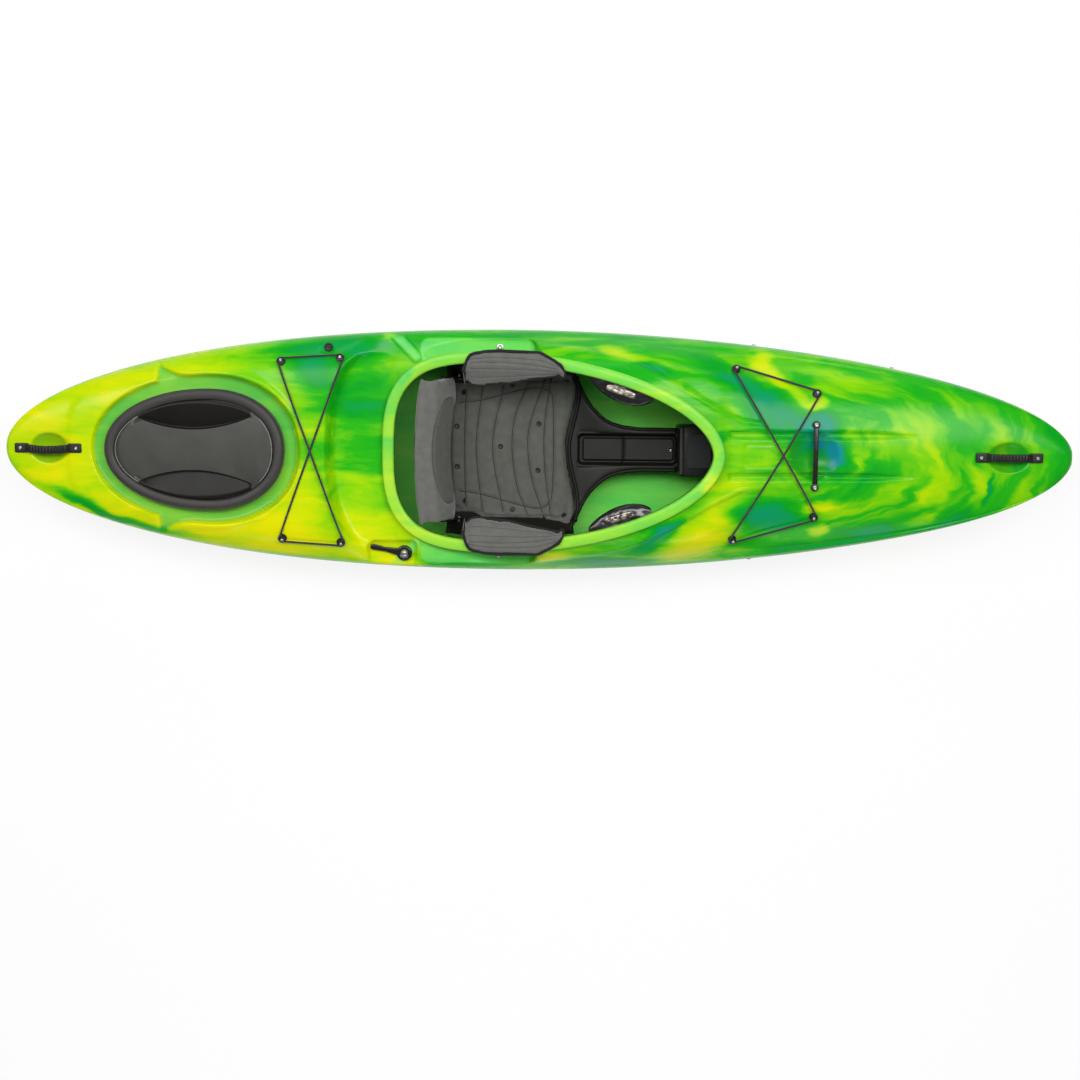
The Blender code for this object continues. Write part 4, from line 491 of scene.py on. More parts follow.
# place of the middle, reach along X, Y and Z, turn in degrees, and push: below zero yellow, above teal
PATCHES = [
    ((-1.18, 0.00, 0.28), (0.52, 0.60, 0.14), 0, -0.30),
    ((-1.42, 0.02, 0.27), (0.16, 0.16, 0.10), 0, -0.10),
    ((-1.31, -0.160, 0.26), (0.14, 0.026, 0.08), -24, 0.50),
    ((-1.17, -0.212, 0.25), (0.14, 0.022, 0.06), -14, 0.40),
    ((-1.04, -0.240, 0.24), (0.10, 0.020, 0.05), -8, 0.20),
    ((-0.80, -0.24, 0.27), (0.42, 0.09, 0.08), -8, -0.22),
    ((-0.72, -0.18, 0.29), (0.16, 0.15, 0.08), -30, -0.20),
    ((-0.70, 0.02, 0.30), (0.09, 0.22, 0.08), 0, -0.10),
    ((-0.64, 0.225, 0.29), (0.10, 0.07, 0.08), -25, 0.26),
    ((-0.50, 0.305, 0.26), (0.34, 0.040, 0.08), 0, 0.20),
    ((-0.50, 0.15, 0.27), (0.10, 0.15, 0.08), 12, 0.14),
    ((-0.43, 0.320, 0.26), (0.05, 0.022, 0.05), -40, -0.34),
    ((-0.50, -0.06, 0.27), (0.13, 0.10, 0.06), 0, -0.10),
    ((-0.47, -0.22, 0.26), (0.17, 0.12, 0.06), -24, -0.30),
    ((-0.40, -0.33, 0.25), (0.10, 0.03, 0.05), 0, -0.26),
    ((0.05, -0.295, 0.30), (0.09, 0.026, 0.05), 8, -0.32),
    ((0.18, -0.315, 0.26), (0.16, 0.030, 0.06), 4, 0.30),
    ((0.33, -0.235, 0.33), (0.09, 0.034, 0.05), 32, 0.28),
    ((0.46, -0.235, 0.31), (0.17, 0.080, 0.08), 40, -0.40),
    ((0.53, -0.10, 0.35), (0.09, 0.07, 0.06), 40, -0.16),
    ((0.27, 0.272, 0.31), (0.13, 0.024, 0.06), -16, -0.32),
    ((0.33, 0.240, 0.32), (0.08, 0.026, 0.06), -20, 0.26),
    ((0.20, 0.335, 0.25), (0.70, 0.022, 0.05), 0, 0.18),
    ((0.53, 0.225, 0.30), (0.10, 0.045, 0.06), -30, 0.26),
    ((0.64, 0.255, 0.29), (0.10, 0.026, 0.06), -52, -0.30),
    ((0.73, 0.170, 0.31), (0.10, 0.022, 0.06), -42, -0.18),
    ((0.67, 0.115, 0.33), (0.15, 0.060, 0.06), -38, 0.36),
    ((0.815, 0.065, 0.33), (0.085, 0.080, 0.05), -20, 0.46),
    ((0.79, 0.155, 0.31), (0.030, 0.026, 0.05), 0, -0.26),
    ((0.86, -0.010, 0.32), (0.05, 0.07, 0.05), 0, 0.26),
    ((0.60, 0.00, 0.34), (0.12, 0.06, 0.04), 0, -0.12),
    ((1.08, 0.02, 0.32), (0.14, 0.16, 0.05), 0, -0.14),
    ((1.235, -0.06, 0.31), (0.030, 0.12, 0.05), 8, -0.18),
    ((1.272, -0.09, 0.30), (0.012, 0.05, 0.05), -6, 0.34),
    ((0.66, -0.175, 0.32), (0.13, 0.055, 0.06), -14, 0.34),
    ((0.81, -0.140, 0.32), (0.06, 0.022, 0.05), 10, -0.28),
    ((0.82, -0.215, 0.30), (0.032, 0.030, 0.05), 20, -0.30),
    ((0.88, -0.245, 0.28), (0.42, 0.030, 0.06), 10, 0.20),
    ((1.09, -0.195, 0.28), (0.09, 0.022, 0.05), 14, -0.22),
    ((-0.375, 0.225, 0.300), (0.06, 0.030, 0.030), 50, 0.34),
    ((0.370, -0.205, 0.372), (0.08, 0.030, 0.020), 30, 0.34),
    ((0.512, 0.030, 0.378), (0.030, 0.06, 0.020), 0, 0.34),
    ((0.490, -0.090, 0.378), (0.040, 0.05, 0.020), 30, -0.30),
    ((-1.32, -0.16, 0.16), (0.14, 0.10, 0.06), 0, 0.42),
    ((-0.91, -0.30, 0.10), (0.30, 0.12, 0.045), 0, -0.30),
    ((-0.12, -0.34, 0.07), (0.34, 0.10, 0.05), 0, 0.14),
    ((0.12, -0.33, 0.08), (0.30, 0.10, 0.05), 0, 0.22),
    ((0.70, -0.28, 0.13), (0.34, 0.12, 0.06), 0, 0.24),
    ((1.05, -0.20, 0.09), (0.24, 0.14, 0.05), 0, -0.46),
    ((-0.90, 0.30, 0.10), (0.30, 0.12, 0.05), 0, -0.24),
    ((0.55, 0.30, 0.12), (0.34, 0.12, 0.06), 0, 0.26),
]


def marbling(name, stops, rough, wax, others=()):
    """The marbled plastic: colour stops from yellow to teal, roughness, and depth of its ripple in mm.

    others are more stops, which take over where a share kept on the mesh, under a word, says so.
    """
    made, tree, place = new_material(name)
    broad = add(tree, "Mapping", {"Vector": place, "Scale": (1.0, 2.2, 2.2)})
    drift = add(tree, "TexNoise", {"Vector": broad, "Scale": 4.0, "Detail": 3.0, "Roughness": 0.55})
    pull = add(tree, "VectorMath", {0: drift.outputs["Color"], 1: (0.5, 0.5, 0.5)}, operation="SUBTRACT")
    moved = add(tree, "VectorMath", {0: pull, 1: (0.15, 0.09, 0.08), 2: place}, operation="MULTIPLY_ADD")
    strands = add(tree, "Mapping", {"Vector": moved, "Scale": (2.0, 10.0, 10.0), "Rotation": (0, 0, 0.2)})
    streak = add(tree, "TexNoise", {"Vector": strands, "Scale": 1.6, "Detail": 5.0, "Roughness": 0.55,
                                    "Distortion": 0.35})
    tone = add(tree, "MapRange", {"Value": streak, "From Min": 0.3, "From Max": 0.7, "To Min": 0.32,
                                  "To Max": 0.62})
    # on the foredeck the strands bend round the middle of the boat, so they are drawn along circles
    axes = add(tree, "SeparateXYZ", {"Vector": moved}).outputs
    ahead = add(tree, "Math", {0: axes["X"], 1: 0.72}, operation="SUBTRACT")
    wider = add(tree, "Math", {0: axes["Y"], 1: 1.8}, operation="MULTIPLY")
    flat = add(tree, "CombineXYZ", {"X": ahead, "Y": wider})
    radius = add(tree, "VectorMath", {0: flat}, operation="LENGTH").outputs["Value"]
    bearing = add(tree, "Math", {0: wider, 1: ahead}, operation="ARCTAN2")
    polar = add(tree, "CombineXYZ", {"X": radius, "Y": bearing})
    bent = add(tree, "VectorMath", {0: polar, 1: (11.0, 1.1, 1.0)}, operation="MULTIPLY")
    arcs = add(tree, "TexNoise", {"Vector": bent, "Scale": 1.0, "Detail": 3.0, "Roughness": 0.55,
                                  "Distortion": 0.3})
    arc_tone = add(tree, "MapRange", {"Value": arcs, "From Min": 0.3, "From Max": 0.7, "To Min": 0.27,
                                      "To Max": 0.68})
    fore = add(tree, "MapRange", {"Value": axes["X"], "From Min": 0.56, "From Max": 0.84})
    upper = add(tree, "MapRange", {"Value": axes["Z"], "From Min": 0.24, "From Max": 0.27})
    foredeck = add(tree, "Math", {0: fore, 1: upper}, operation="MULTIPLY")
    total = add(tree, "Mix", {"Factor": foredeck, "A": tone, "B": arc_tone}, data_type="FLOAT")
    for middle, reach, turn, push in PATCHES:
        there = add(tree, "Mapping", {"Vector": moved, "Location": middle, "Scale": reach,
                                      "Rotation": (0, 0, math.radians(turn))}, vector_type="TEXTURE")
        far = add(tree, "VectorMath", {0: there}, operation="LENGTH").outputs["Value"]
        inner = add(tree, "MapRange", {"Value": far, "From Min": 0.25, "From Max": 1.25, "To Min": push,
                                       "To Max": 0.0}, interpolation_type="SMOOTHSTEP")
        total = add(tree, "Math", {0: total, 1: inner}, operation="ADD")
    colour = None
    for word, some in (("", stops), *others):
        hues = add(tree, "ValToRGB", {"Fac": total})
        while len(hues.color_ramp.elements) < len(some):
            hues.color_ramp.elements.new(0.5)
        for element, (spot, code) in zip(hues.color_ramp.elements, some):
            element.position, element.color = spot, linear(code)
        if colour is None:
            colour = hues
        else:
            share = add(tree, "Attribute", attribute_name=word).outputs["Fac"]
            colour = add(tree, "Mix", {0: share, 6: colour, 7: hues}, data_type="RGBA").outputs[2]
    ripple = add(tree, "TexNoise", {"Vector": place, "Scale": 140.0, "Detail": 2.0, "Roughness": 0.4})
    scuff = add(tree, "TexNoise", {"Vector": place, "Scale": 9.0, "Detail": 6.0, "Roughness": 0.7})
    gloss = add(tree, "MapRange", {"Value": scuff, "From Min": 0.3, "From Max": 0.75, "To Min": rough,
                                   "To Max": rough + 0.11})
    bump = add(tree, "Bump", {"Height": ripple, "Strength": 0.10, "Distance": wax / 1000})
    # the skin is slightly waxy, so it mirrors less of the room than clear plastic of this IOR would
    return shaded(made, {"Base Color": colour, "Roughness": gloss, "Normal": bump, "IOR": 1.51,
                         "Specular IOR Level": 0.15})


def ramp(codes, spots=(0.02, 0.20, 0.36, 0.52, 0.70, 0.88, 1.0)):
    """Colours from yellow to teal, each with its place between 0 and 1."""
    return list(zip(spots, codes.split()))


# the seat of the hatch takes greener and paler stops
shelf_stops = ramp("#7ec238 #64b93e #50b044 #41a646 #359c4a #2e9464 #2e9082")
# the hip ledges and the welts that run to them take paler, milky green stops
ledge_stops = ramp("#a6dc3c #8cd646 #74cf50 #5cc654 #4cbd5a #3cb076 #3aa892")
# the finger dishes take darker stops: painted shade in their recesses
dish_shade_stops = ramp("#8db008 #74ac0a #3fa010 #1b9418 #088a34 #078064 #0a7a88")
# the skin itself lies against the bright mould: full colours under a wet gloss
skin_stops = ramp("#d6d600 #add000 #73c306 #25aa10 #04981c #06905a #0b8690",
                  (0.02, 0.20, 0.36, 0.50, 0.66, 0.84, 1.0))
marbled = marbling("marbled_rotomoulded_polyethylene", skin_stops, 0.16, 0.6,
                   (("shelf", shelf_stops), ("ledge", ledge_stops), ("dish", dish_shade_stops)))
# the cockpit lip takes paler stops, a painted highlight for the sheen on it; the hatch neck wears them too
lip_highlight_stops = ramp("#d8de3a #bcda32 #94d238 #74ca42 #54c056 #3cb686 #34aca0",
                 (0.02, 0.22, 0.40, 0.54, 0.70, 0.86, 1.0))
marbled_pale_highlight = marbling("marbled_polyethylene_pale_lip", lip_highlight_stops, 0.20, 0.4)
# the inside skin is waxy; its stops are paler and brighter than the outside's, painted light that lifts the
# shaded inside of the boat
inner_painted_light_stops = ramp("#a6e04c #90dc4e #78d84e #60d04e #50ca50 #46c268 #42ba7c")
marbled_inside_painted_light = marbling("marbled_polyethylene_inner_skin", inner_painted_light_stops, 0.42, 1.2)
print("marbling patches:", len(PATCHES))

# %% Shell: rows along the boat and columns round each section
fine = [(-1.47, -1.33, 0.005), (-1.30, -1.18, 0.005), (-1.12, -1.03, 0.004), (-0.76, -0.68, 0.005),
        (-0.61, -0.33, 0.004), (-0.33, -0.30, 0.003), (-0.06, 0.0, 0.003), (0.44, 0.72, 0.0055),
        (0.71, 0.87, 0.005), (1.02, 1.08, 0.005), (1.26, 1.41, 0.005)]
rows_x = np.concatenate([np.arange(-1.46, 1.46, 0.011)] + [np.arange(*span) for span in fine])
tips = HALF * (1 - 0.0008 - 0.044 * (1 - np.cos(np.linspace(0, math.pi / 2, 14))) ** 1.4)
rows_x = np.unique(np.round(np.concatenate([rows_x, tips, -tips]), 4))
rows_x = rows_x[np.concatenate([[True], np.diff(rows_x) > 0.0016])]

half, keel, edge, ridge = half_beam(rows_x), keel_z(rows_x), edge_z(rows_x), ridge_z(rows_x)
power_x = crown_power(rows_x)
# the deck's middle line turns a corner at each end of the cockpit; it is rounded over 60 mm
even_x = np.arange(-HALF, HALF, 0.002)
near = np.exp(-((rows_x[:, None] - even_x[None, :]) / 0.022) ** 2)
rounded = near @ ridge_z(even_x) / near.sum(1)
for joint in (MOUTH_AFT - LIP, MOUTH_FORE + LIP):
    ridge = ridge + (rounded - ridge) * (1 - ease(np.abs(rows_x - joint), 0.030, 0.075))
keel, edge = np.minimum(keel, ridge - 0.004), np.minimum(edge, ridge - 0.001)
fullness = 1 - ease(np.abs(rows_x), 0.62 * HALF, HALF)
flat = 0.45 * half * (0.35 + 0.65 * fullness)
power = (2.1 + 0.9 * fullness)[:, None]
widest = keel + 0.75 * (edge - keel)

slot = np.minimum(0.0052, flat * 0.5)
bottom_y = np.stack([slot, flat * 0.55, flat], 1)
bottom_z = np.repeat(keel[:, None], 3, 1)
angle = math.pi / 2 * np.arange(1, 17) / 16
side_y = flat[:, None] + (half - flat)[:, None] * np.sin(angle) ** (2 / power)
side_z = widest[:, None] - (widest - keel)[:, None] * np.cos(angle) ** (2 / power)
up = np.linspace(0, 1, 9)[1:]
lean_y = half[:, None] * (1 - (1 - EDGE_SHARE) * up ** 2.5)
lean_z = widest[:, None] + (edge - widest)[:, None] * up
share = np.concatenate([1 - 0.055 * (np.arange(1, 9) / 8) ** 1.2, np.linspace(0.945, 0.0, 72)[1:]])
deck_y = EDGE_SHARE * half[:, None] * share
deck_h = edge[:, None] + (ridge - edge)[:, None] * (1 - share ** power_x[:, None])
port_y = np.concatenate([bottom_y, side_y, lean_y, deck_y], 1)
port_z = np.concatenate([bottom_z, side_z, lean_z, deck_h], 1)
ring_y = np.concatenate([port_y, -port_y[:, -2::-1]], 1)
ring_z = np.concatenate([port_z, port_z[:, -2::-1]], 1)
rows, columns = ring_y.shape
ring_x = np.repeat(rows_x[:, None], columns, 1)
upper = ring_z > np.maximum(widest, 0.17)[:, None]
ring_z[upper] = recessed(ring_x[upper], ring_y[upper], ring_z[upper])
print("skin:", rows, "rows x", columns, "columns")

# %% Shell: leave out the openings and close the tips
def inside_of(outline):
    """The deck faces of the net whose middle lies inside an outline."""
    found = np.zeros(mid_x.shape, bool)
    found[deck] = outside(mid_x[deck], mid_y[deck], outline) < 0
    return found


after = (np.arange(columns) + 1) % columns
mid_x = (ring_x[:-1] + ring_x[1:]) / 2
mid_y = (ring_y[:-1] + ring_y[1:] + ring_y[:-1][:, after] + ring_y[1:][:, after]) / 4
deck = (ring_z[:-1] + ring_z[1:]) / 2 > 0.2
slot_faces = (np.arange(columns) == columns - 1) & (mid_x > -1.268) & (mid_x < -0.934)
keep = ~(inside_of(cockpit_outline(0.0045)) | inside_of(hatch_outline(-0.0245)) | slot_faces)
points = np.stack([ring_x, ring_y, ring_z], 2).reshape(-1, 3)
faces = list(net_faces(rows, columns, wrap=True, keep=keep))
faces += [list(range(columns)), list(range((rows - 1) * columns, rows * columns))]
shell = piece("hull_skin", points, faces, marbled)
# the inner faces take the paler stops: painted light on the inside of the boat
shell.data.materials.append(marbled_inside_painted_light)
wall = walled(shell, 0.0048)
wall.use_rim, wall.material_offset = True, 1
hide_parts("hull")
print("skin faces:", len(faces))

# %% Shares that tell the marbling where the shelf, the ledges and the dishes are
spots = coordinates(shell.data)
sx, sy, on_deck = spots[:, 0], np.abs(spots[:, 1]), spots[:, 2] > 0.2
welt = np.maximum(to_segment(sx, sy, *STRIP) - 0.013, sy - 0.327)
# the dish share marks where the darker stops paint the shade of the finger dishes
dish = np.min([np.hypot((sx - middle) / long * 2, sy / broad * 2) for middle, long, broad in
               ((STERN_HANDLE_X, 0.110, 0.089), (BOW_HANDLE_X, 0.121, 0.089), (BAR_X, 0.143, 0.143))], 0)
for word, share in (("shelf", 1 - ease(hatch_shelf(sx, sy), -0.0035, 0.0010)),
                    ("ledge", 1 - ease(np.minimum(box_distance(sx, sy, *LEDGE), welt), -0.0030, 0.0030)),
                    ("dish", 1 - ease(dish, 0.90, 1.02))):
    layer = shell.data.attributes.new(word, "FLOAT", "POINT")
    layer.data.foreach_set("value", (share * on_deck).astype(np.float32))
    print("points on the", word + ":", int((share * on_deck > 0.5).sum()))

# %% [markdown]
# ## Coaming
#
# The cockpit rim is a wall that stands on the deck with a flat rolled lip for the spray skirt. It is
# moulded in one with the shell, so it takes the same marbled plastic, with paler stops as a painted
# highlight. A profile of a dozen points is carried round the mouth, lifted to the sweep of the rim.

# %% Coaming
inner, outer = cockpit_outline(0.0), cockpit_outline(1.0)
high = rim_z(inner[:, 0])
beside = 1 - ease(inner[:, 0], -0.030, 0.030)
foot = high - RIM_STAND - WALL / 2
foot = foot + (np.minimum(foot, 0.262 - WALL / 2) - foot) * beside
drop = foot - high - 0.004
lip = [(0.0, None), (0.0, -0.0070), (0.0012, -0.0028), (0.0045, -0.0004), (0.010, 0.0004), (0.018, 0.0006),
       (0.026, 0.0001), (0.0300, -0.0012), (0.0322, -0.0034), (LIP, -0.0070), (LIP, -0.0125),
       (0.0322, -0.0145), (0.0305, -0.0150), (0.0170, -0.0126), (0.0115, -0.0145), (0.0092, -0.0185),
       (0.0090, None)]
rings = []
for i in range(len(inner)):
    out = outer[i] - inner[i]
    rings.append([(*(inner[i] + out * r), high[i] + (drop[i] if z is None else z)) for r, z in lip])
coaming = ring_net("coaming_rim", rings, marbled_pale_highlight)

# the hatch neck wears the same paler stops, a painted highlight
neck = [[(*a, 0.270), (*a, 0.2968), (*((a + b) / 2), 0.2980), (*b, 0.2968), (*b, 0.270)]
        for a, b in zip(hatch_outline(-0.0275), hatch_outline(-0.022))]
throat_wall = ring_net("hatch_neck", neck, marbled_pale_highlight)
print("coaming:", len(rings), "sections")

# %% [markdown]
# ## Tools for the fittings
#
# The fittings are turned, swept or pressed shapes. Real moulded pieces have no sharp corners, so a
# profile first goes through soften(), which puts a short curve in place of each corner. The soft
# curve then gives the thin highlight along the edge that a knife-sharp model never shows.

# %% Softened profiles, turned shapes, sweeps and plates
def soften(corners, radius, steps=4, closed=False):
    """Puts a short curve in place of each corner of a profile."""
    spots, out = np.asarray(corners, float), []
    for i, spot in enumerate(spots):
        if not closed and i in (0, len(spots) - 1):
            out.append(spot)
            continue
        back, on = spots[i - 1] - spot, spots[(i + 1) % len(spots)] - spot
        start = spot + back * min(radius / np.linalg.norm(back), 0.45)
        end = spot + on * min(radius / np.linalg.norm(on), 0.45)
        out += [(1 - t) ** 2 * start + 2 * t * (1 - t) * spot + t ** 2 * end for t in np.linspace(0, 1, steps)]
    return np.array(out)


def turned(name, profile, spot, normal, finish, body="boat", sides=32):
    """Carries a profile of (radius, height) pairs round an axis."""
    axis = Vector(normal).normalized()
    side = axis.orthogonal().normalized()
    across = np.array(axis.cross(side))
    turn = np.linspace(0, 2 * math.pi, sides, endpoint=False)[:, None]
    round_it = np.cos(turn) * np.array(side) + np.sin(turn) * across
    rings = [np.array(spot) + np.array(axis) * h + max(r, 1e-5) * round_it for r, h in profile]
    return ring_net(name, rings, finish, body, closed=False)


def swept(name, path, width, thick, finish, body="boat", side=(0, 1, 0), power=2.0, sides=16, closed=False):
    """Carries a rounded section along a path; side says which way the width points."""
    path = np.asarray(path, float)
    ahead = np.roll(path, -1, 0) - np.roll(path, 1, 0) if closed else np.gradient(path, axis=0)
    ahead /= np.linalg.norm(ahead, axis=1)[:, None]
    up = np.cross(ahead, np.asarray(side, float))
    up /= np.linalg.norm(up, axis=1)[:, None]
    across = np.cross(up, ahead)
    turn = np.linspace(0, 2 * math.pi, sides, endpoint=False)
    c, s = np.cos(turn), np.sin(turn)
    c, s = powered(c, 2 / power), powered(s, 2 / power)
    wide = np.broadcast_to(width, len(path))[:, None, None] / 2 * c[None, :, None]
    high = np.broadcast_to(thick, len(path))[:, None, None] / 2 * s[None, :, None]
    return ring_net(name, path[:, None] + across[:, None] * wide + up[:, None] * high, finish, body, closed)


def plate(name, outline, low, high, finish, body="boat", edge=0.002):
    """A flat piece with rounded edges, pressed up from an outline."""
    shape = np.asarray(outline, float)
    x, y = shape.T
    if np.dot(x, np.roll(y, -1)) < np.dot(y, np.roll(x, -1)):
        shape = shape[::-1]
    along = np.roll(shape, -1, 0) - np.roll(shape, 1, 0)
    out = np.stack([along[:, 1], -along[:, 0]], 1)
    out /= np.linalg.norm(out, axis=1)[:, None]
    rings = []
    for level, turns in ((low + edge, (-90, -60, -30, 0)), (high - edge, (0, 30, 60, 90))):
        for turn in np.radians(turns):
            flat = shape - out * edge * (1 - math.cos(turn))
            rings.append(np.column_stack([flat, np.full(len(flat), level + edge * math.sin(turn))]))
    return ring_net(name, rings, finish, body, closed=False)


def deck_place(x, y, lift=0.0):
    """A point on the bare deck, lifted along its normal, and that normal."""
    step = 0.004
    slope = [at(deck_z, x + dx, y + dy) - at(deck_z, x - dx, y - dy) for dx, dy in ((step, 0), (0, step))]
    normal = np.array([-slope[0] / (2 * step), -slope[1] / (2 * step), 1.0])
    normal /= np.linalg.norm(normal)
    return np.array([x, y, at(deck_z, x, y)]) + normal * lift, normal


print("a softened square has", len(soften([(0, 0), (1, 0), (1, 1), (0, 1)], 0.1, closed=True)), "points")

# %% [markdown]
# ## Finishes of the fittings
#
# Nearly every fitting is a black or grey polymer, so the difference between them lies in gloss and
# grain: a spark-eroded mould leaves a fine pebble, a polished one leaves a shine, rubber stays dull.
# One helper adds that grain: a fine noise for the bump and a broad noise that varies the gloss, as
# handling and dust do. Sizes are given in millimetres and turned into the texture's scale.

# %% Grain helper
def grained(name, code, grain_mm, relief_mm, rough, ior=1.5, fleck=0.12, mirror=0.5, more=()):
    """A moulded finish: colour, size and depth of its grain, and the lowest and highest roughness.

    fleck is how far its shade wanders, mirror how much of the room it mirrors, where 0.5 is what
    its IOR gives, and more are other inputs of the shader.
    """
    made, tree, place = new_material(name)
    broad = add(tree, "TexNoise", {"Vector": place, "Scale": 14.0, "Detail": 5.0, "Roughness": 0.65})
    tint = add(tree, "MapRange", {"Value": broad, "From Min": 0.3, "From Max": 0.7, "To Min": 1 - fleck,
                                  "To Max": 1 + fleck})
    colour = add(tree, "VectorMath", {0: linear(code)[:3], "Scale": tint}, operation="SCALE")
    dull = add(tree, "MapRange", {"Value": broad, "From Min": 0.3, "From Max": 0.7, "To Min": rough[0],
                                  "To Max": rough[1]})
    fine = add(tree, "TexNoise", {"Vector": place, "Scale": 1000 / grain_mm, "Detail": 2.0, "Roughness": 0.5})
    bump = add(tree, "Bump", {"Height": fine, "Strength": 0.6, "Distance": relief_mm / 1000})
    return shaded(made, {"Base Color": colour, "Roughness": dull, "Normal": bump, "IOR": ior,
                         "Specular IOR Level": mirror, **dict(more)})


# EPDM rubber, compression moulded: dull, with a soft sheen where the light grazes it
rubber = grained("moulded_epdm_rubber", "#32302e", 1.2, 0.08, (0.44, 0.60), 1.52, mirror=0.35,
                 more={"Sheen Weight": 0.10, "Sheen Roughness": 0.4})
# high-density polyethylene sheet, pressed: a satin olive grey
panel_grey = grained("pressed_hdpe_sheet", "#373732", 2.0, 0.05, (0.30, 0.42), 1.54, mirror=0.35)
# glass-filled nylon from a spark-eroded mould: black, with a fine sparkle
nylon = grained("glass_filled_nylon", "#131312", 1.0, 0.10, (0.34, 0.50), 1.53, 0.25, 0.35)
# nylon from a polished mould: the same black with a clear gloss
nylon_gloss = grained("polished_nylon", "#131313", 3.0, 0.04, (0.14, 0.24), 1.53, 0.2)
# polypropylene of the seat: near-black brown, satin, a leather-like pebble of about 1.5 mm
seat_black = grained("moulded_polypropylene", "#171612", 1.5, 0.12, (0.40, 0.54), 1.49, 0.15, 0.25)
# the rolled edges of the flare are dull, and darker than the pan: painted shade in the gaps beside them
seat_edge_painted_shade = grained("polypropylene_edge_painted_shade", "#0c0b09", 1.5, 0.10, (0.52, 0.64), 1.49, 0.2, 0.3)
# high-density polyethylene of the skeg: dark grey, worn dull by sand
skeg_grey = grained("machined_hdpe", "#383838", 1.5, 0.06, (0.38, 0.55), 1.54, 0.18)
# vinyl-coated padding of the thigh braces: a wet gloss over soft lumps of about 25 mm
vinyl = grained("vinyl_coated_foam", "#121212", 2.5, 0.02, (0.18, 0.28), 1.54, 0.2)
tree = vinyl.node_tree
surface = tree.nodes["Principled BSDF"].inputs["Normal"]
place = add(tree, "TexCoord").outputs["Object"]
lumps = add(tree, "TexNoise", {"Vector": place, "Scale": 32.0, "Detail": 1.0, "Roughness": 0.4})
swell = add(tree, "Bump", {"Height": lumps, "Strength": 0.7, "Distance": 0.010,
                           "Normal": surface.links[0].from_socket})
tree.links.new(swell.outputs[0], surface)
print("moulded finishes:", [m.name for m in bpy.data.materials if "moulded" in m.name])

# %% Metal, foam and cord
def crossed(tree, place, leans, spacing):
    """Two sets of waves that cross, with a spacing from wave to wave, from -1 to 1."""
    waves = []
    for lean in leans:
        along = add(tree, "VectorMath", {0: place, 1: lean}, operation="DOT_PRODUCT").outputs["Value"]
        phase = add(tree, "Math", {0: along, 1: 2 * math.pi / spacing}, operation="MULTIPLY")
        waves.append(add(tree, "Math", {0: phase}, operation="SINE"))
    return add(tree, "Math", dict(enumerate(waves)), operation="MULTIPLY")


# stainless steel, rolled and then tumbled: a soft mirror with fine scratches a few mm long
steel, tree, place = new_material("tumbled_stainless_steel")
drawn = add(tree, "Mapping", {"Vector": place, "Scale": (900.0, 120.0, 300.0)})
scratches = add(tree, "TexNoise", {"Vector": drawn, "Scale": 1.0, "Detail": 3.0})
dull = add(tree, "MapRange", {"Value": scratches, "To Min": 0.16, "To Max": 0.36})
bump = add(tree, "Bump", {"Height": scratches, "Strength": 0.25, "Distance": 0.00005})
shaded(steel, {"Base Color": linear("#b4b4b0"), "Metallic": 1.0, "Roughness": dull, "Normal": bump})
# minicell foam: cut blocks of closed cells about 1.5 mm wide, drawn at 3 mm so that they show
foam, tree, place = new_material("closed_cell_foam")
cells = add(tree, "TexVoronoi", {"Vector": place, "Scale": 330.0}, feature="F1").outputs["Distance"]
shade = add(tree, "MapRange", {"Value": cells, "To Min": 0.75, "To Max": 1.25})
colour = add(tree, "VectorMath", {0: linear("#2c2c2d")[:3], "Scale": shade}, operation="SCALE")
bump = add(tree, "Bump", {"Height": cells, "Strength": 0.7, "Distance": 0.0008})
shaded(foam, {"Base Color": colour, "Roughness": 0.92, "Normal": bump, "IOR": 1.5})
# shock cord: a woven polyester cover with a pick of about 2 mm, crossing both ways
braid, tree, place = new_material("braided_polyester_cover")
picks = crossed(tree, place, ((1.0, 0.7, 0.5), (0.7, -1.0, -0.5)), 0.002)
shade = add(tree, "MapRange", {"Value": picks, "From Min": -1.0, "To Min": 0.6, "To Max": 1.5})
colour = add(tree, "VectorMath", {0: linear("#1b1b1b")[:3], "Scale": shade}, operation="SCALE")
bump = add(tree, "Bump", {"Height": picks, "Strength": 0.6, "Distance": 0.0005})
shaded(braid, {"Base Color": colour, "Roughness": 0.7, "Normal": bump, "IOR": 1.5, "Sheen Weight": 0.3})
# the adjuster strip under each thigh brace: the same steel, pressed with shallow dents 12 mm apart, its colour
# mottled from dark brown to pale beige as a painted reflection
dented, tree, place = new_material("pressed_stainless_strip")
dents = add(tree, "TexNoise", {"Vector": place, "Scale": 85.0, "Detail": 2.0, "Roughness": 0.5})
# painted reflection: the colour wanders from dark brown to pale beige with the dents
painted_reflection_mottle = add(tree, "ValToRGB", {"Fac": dents})
for element, spot, code in zip(painted_reflection_mottle.color_ramp.elements, (0.42, 0.56), ("#4a443e", "#9d9488")):
    element.position, element.color = spot, linear(code)
bump = add(tree, "Bump", {"Height": dents, "Strength": 0.8, "Distance": 0.003})
shaded(dented, {"Base Color": painted_reflection_mottle, "Metallic": 0.85, "Roughness": 0.30, "Normal": bump})
print("cord braid: one pick every 2 mm")

# %% [markdown]
# ## Pieces that keep their solid
#
# The screws through the hull, the foot braces, the skeg and the foam are already the right shape.
# They keep it, with their corners rounded by a Bevel modifier of half a millimetre or so, and take
# their finish on the slot that the solid came with.

# %% Dress the solids that stay
def dress(finish, radius, *names):
    """Gives solids their finish, and round edges of that radius."""
    for name in names:
        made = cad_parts[name]
        made.material_slots[0].material = finish
        made.data.shade_smooth()
        soft = made.modifiers.new("soft_edges", "BEVEL")
        soft.width, soft.segments, soft.limit_method = radius, 2, "ANGLE"
        soft.angle_limit, soft.harden_normals = math.radians(32), True
    print(finish.name, "on", len(names), "solids")


